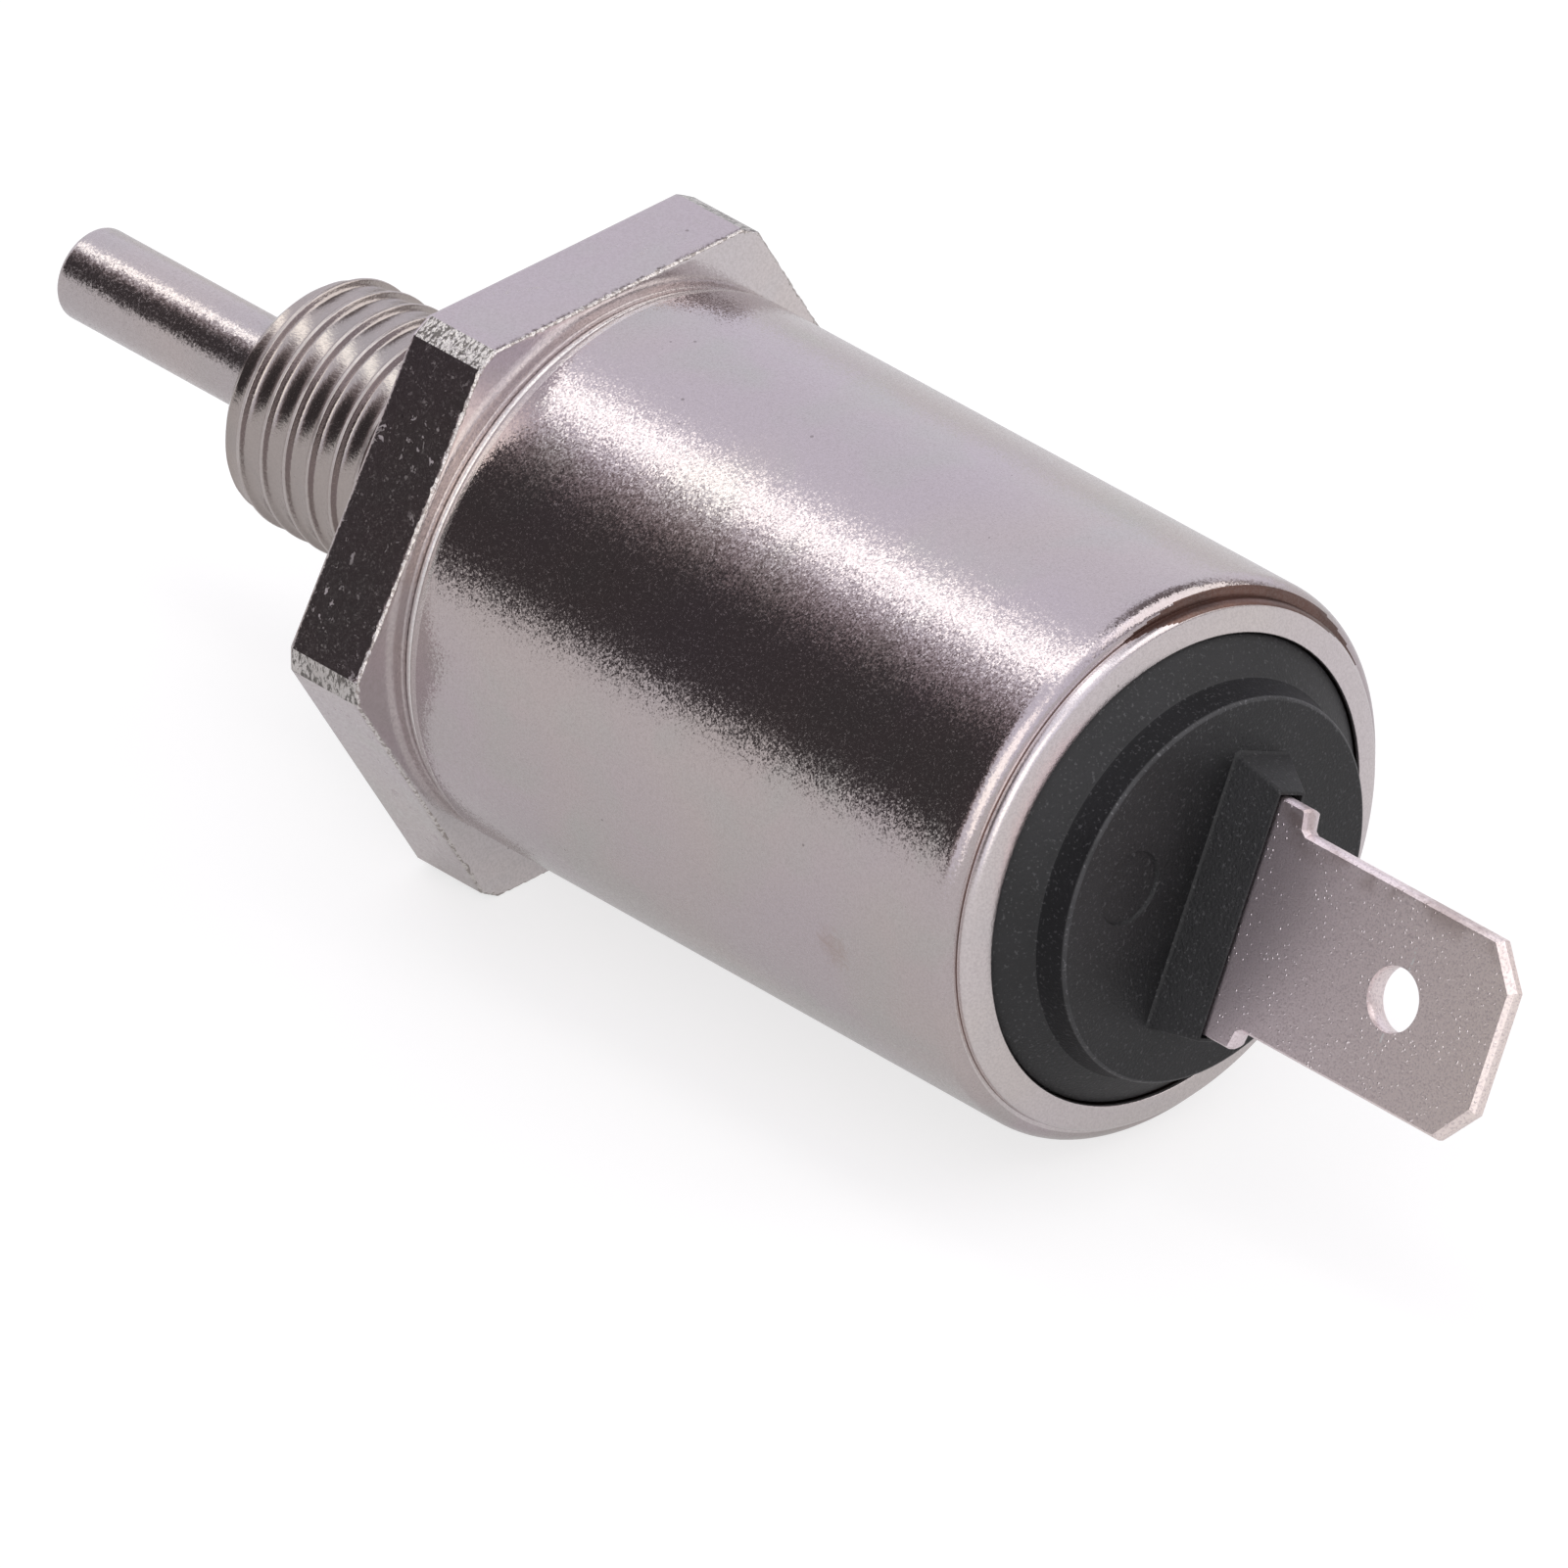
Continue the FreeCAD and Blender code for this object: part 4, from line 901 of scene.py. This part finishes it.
def make_terminal():
    """Stamped blade: flat faces, coined edges that thin towards the tip, and a latch hole."""
    # Each point: x, z, and how far a full share draws it in along x and z
    upper = [
        (TAB_END_X, TAB_STEM_HALF, 0.0, 0.0), (TAB_SEAT_X, TAB_STEM_HALF, 0.0, 0.0),
        (TAB_SEAT_X, 3.72, 0.03, 0.05), (29.98, TAB_SHOULDER_HALF, 0.0, 0.08),
        (31.12, TAB_SHOULDER_HALF, 0.03, 0.08), (31.22, 3.72, 0.07, 0.04), (31.36, 3.24, 0.1, 0.06),
        (31.5, TAB_HALF, 0.02, 0.12), (39.53, TAB_HALF, 0.14, 0.12), (TAB_TIP_X, 1.92, 0.2, 0.12),
    ]
    outline = upper + [(x, -z, dx, -dz) for x, z, dx, dz in reversed(upper)]
    # Each layer: depth from the front face, and its share
    layers = [(0.0, 1.0), (0.03, 0.8), (0.12, 0.22), (0.2, 0.0), (0.42, 0.0), (0.6, 0.7), (0.8, 1.8)]
    mesh = bmesh.new()

    def edge_ring(depth, share):
        return [
            mesh.verts.new((x - dx * share, TAB_FRONT_Y + depth, z - dz * share)) for x, z, dx, dz in outline
        ]

    def hole_ring(centre, radius, steps, depth, share):
        angles = [2 * math.pi * step / steps for step in range(steps)]
        grown = radius + 0.05 * share
        return [
            mesh.verts.new((centre + grown * math.cos(angle), TAB_FRONT_Y + depth, grown * math.sin(angle)))
            for angle in angles
        ]

    walls = [[edge_ring(depth, share) for depth, share in layers]]
    for centre, radius, steps in ((LATCH_HOLE_X, LATCH_HOLE_R, 64), (LEAD_HOLE_X, LEAD_HOLE_R, 24)):
        walls.append([hole_ring(centre, radius, steps, depth, share) for depth, share in layers])
    for wall in walls:
        for first, second in zip(wall, wall[1:]):
            join_rings(mesh, first, second)
    fill_between(mesh, [wall[0] for wall in walls], (0, -1, 0))
    fill_between(mesh, [wall[-1] for wall in walls], (0, 1, 0))
    bmesh.ops.transform(mesh, matrix=LEAN, verts=mesh.verts)
    finish_piece(
        "terminal_stamped", mesh, ["tinned_terminal"], "housing", ["terminal_tab"], 14,
    )


# Floor, world and lamp

SKY = colour(0.95, 0.947, 1.046)
STRIP_GLOW = colour(2.65, 2.66, 2.57)
PANEL_GLOW = colour(1.95, 1.9, 1.85)
HORIZON = colour(0.8, 0.79, 0.8)
STRIP_TURN = math.radians(2)
NEAR_FLAG = Vector((-0.613, -0.684, 0.395)).normalized()
TOP_FLAG = Vector((-0.1, 0.6, 0.79)).normalized()
FAR_FLAG = Vector((0.5, 0.7, 0.5)).normalized()
PANEL = Vector((0.6, -0.56, 0.52)).normalized()
LAMP_DIRECTION = Vector((0.45, 0.62, 0.64))


def add_floor():
    """Paper that takes the shadow, and glows for the camera and in what the metal mirrors."""
    data = bpy.data.meshes.new("floor")
    half, level = 4, FLOOR_Z * MM
    corners = [(-half, -half, level), (half, -half, level), (half, half, level), (-half, half, level)]
    data.from_pydata(corners, [], [(0, 1, 2, 3)])
    floor = bpy.data.objects.new("floor", data)
    bpy.context.collection.objects.link(floor)
    material = bpy.data.materials.new("floor_paper")
    material.use_nodes = True
    graph = Graph(material.node_tree)
    paths = graph.add("LightPath")
    place = graph.place()
    fibre = graph.noise(place, 0.05, 2.0)
    base = graph.mix(fibre, colour(0.34, 0.335, 0.337), colour(0.37, 0.365, 0.367))
    diffuse = graph.add("BsdfDiffuse", Color=base)
    seen = graph.math("MULTIPLY", paths.outputs["Is Camera Ray"], 0.7)
    mirrored = graph.math("MULTIPLY", paths.outputs["Is Glossy Ray"], 0.42)
    glow = graph.add("Emission", Color=colour(1, 1, 1), Strength=graph.math("ADD", seen, mirrored))
    both = graph.add("AddShader")
    graph.put(both.inputs[0], diffuse.outputs[0])
    graph.put(both.inputs[1], glow.outputs[0])
    graph.add("OutputMaterial", Surface=both.outputs[0])
    data.materials.append(material)


def sky_patch(graph, direction, centre, stops):
    """Colour or grey by the angle in degrees between a direction and a patch's centre."""
    dot = graph.vector("DOT_PRODUCT", direction, centre)
    angle = graph.math("DIVIDE", graph.math("ARCCOSINE", dot), math.pi)
    return graph.ramp(angle, [(degrees / 180, value) for degrees, value in stops])


def add_world():
    """Pale sky with a strip overhead, dark flags and a bright panel; the camera sees it white."""
    world = bpy.data.worlds.new("studio")
    bpy.context.scene.world = world
    world.use_nodes = True
    graph = Graph(world.node_tree)
    direction = graph.add("TexCoord").outputs["Generated"]
    parts = graph.add("SeparateXYZ", Vector=direction)
    sideways = graph.math("ARCTAN2", parts.outputs["Y"], parts.outputs["Z"])
    sideways = graph.math("ADD", sideways, STRIP_TURN)
    strip = graph.ramp(graph.math("DIVIDE", graph.math("ABSOLUTE", sideways), math.pi / 2), [
        (0.0, 1.0), (0.03, 1.0), (0.09, 0.08), (0.17, 0.0),
    ])
    lengthwise = graph.math("MULTIPLY", graph.math("ADD", parts.outputs["X"], 1.0), 0.5)
    reach = graph.ramp(lengthwise, [(0.03, 0.0), (0.1, 1.0), (0.275, 1.0), (0.6, 0.95), (0.8, 0.0)])
    strip = graph.math("MULTIPLY", strip, reach)
    sky = graph.mix(strip, SKY, STRIP_GLOW)
    near_flag = sky_patch(graph, direction, NEAR_FLAG, [
        (0, colour(0.066, 0.058, 0.056)), (20, colour(0.07, 0.062, 0.06)), (21.5, colour(0.14, 0.12, 0.112)),
        (27, colour(0.28, 0.235, 0.22)), (32, colour(0.54, 0.48, 0.46)), (38, 1.0),
    ])
    top_flag = sky_patch(graph, direction, TOP_FLAG, [
        (0, colour(0.22, 0.19, 0.18)), (15, colour(0.27, 0.24, 0.23)), (27, 1.0),
    ])
    far_flag = sky_patch(graph, direction, FAR_FLAG, [
        (0, colour(0.24, 0.2, 0.18)), (24, colour(0.28, 0.24, 0.22)), (37, 1.0),
    ])
    for flag in (near_flag, top_flag, far_flag):
        sky = graph.mix(1.0, sky, flag, "MULTIPLY")
    panel = sky_patch(graph, direction, PANEL, [(0, 1.0), (16, 1.0), (29, 0.0)])
    sky = graph.mix(panel, sky, PANEL_GLOW)
    horizon = graph.ramp(parts.outputs["Z"], [(0.05, 1.0), (0.1, 0.0)])
    sky = graph.mix(horizon, sky, HORIZON)
    paths = graph.add("LightPath")
    light = graph.add("Background", Color=sky, Strength=1.0)
    white = graph.add("Background", Color=colour(1, 1, 1), Strength=1.0)
    shown = graph.add("MixShader", Fac=paths.outputs["Is Camera Ray"])
    graph.put(shown.inputs[1], light.outputs[0])
    graph.put(shown.inputs[2], white.outputs[0])
    graph.add("OutputWorld", Surface=shown.outputs[0])


def add_lamp():
    """One wide lamp high on the far side, which lights the floor that the rear faces mirror."""
    data = bpy.data.lights.new("far_lamp", "SUN")
    data.energy = 0.8
    data.angle = math.radians(50)
    data.specular_factor = 0.0
    lamp = bpy.data.objects.new("far_lamp", data)
    lamp.rotation_mode = "QUATERNION"
    lamp.rotation_quaternion = LAMP_DIRECTION.to_track_quat("Z", "Y")
    bpy.context.collection.objects.link(lamp)


add_camera()
dress_nodes()
make_hex_body()
make_can()
make_pin()
make_cap()
make_terminal()
add_floor()
add_lamp()
add_world()
bpy.context.scene.view_settings.view_transform = "Standard"
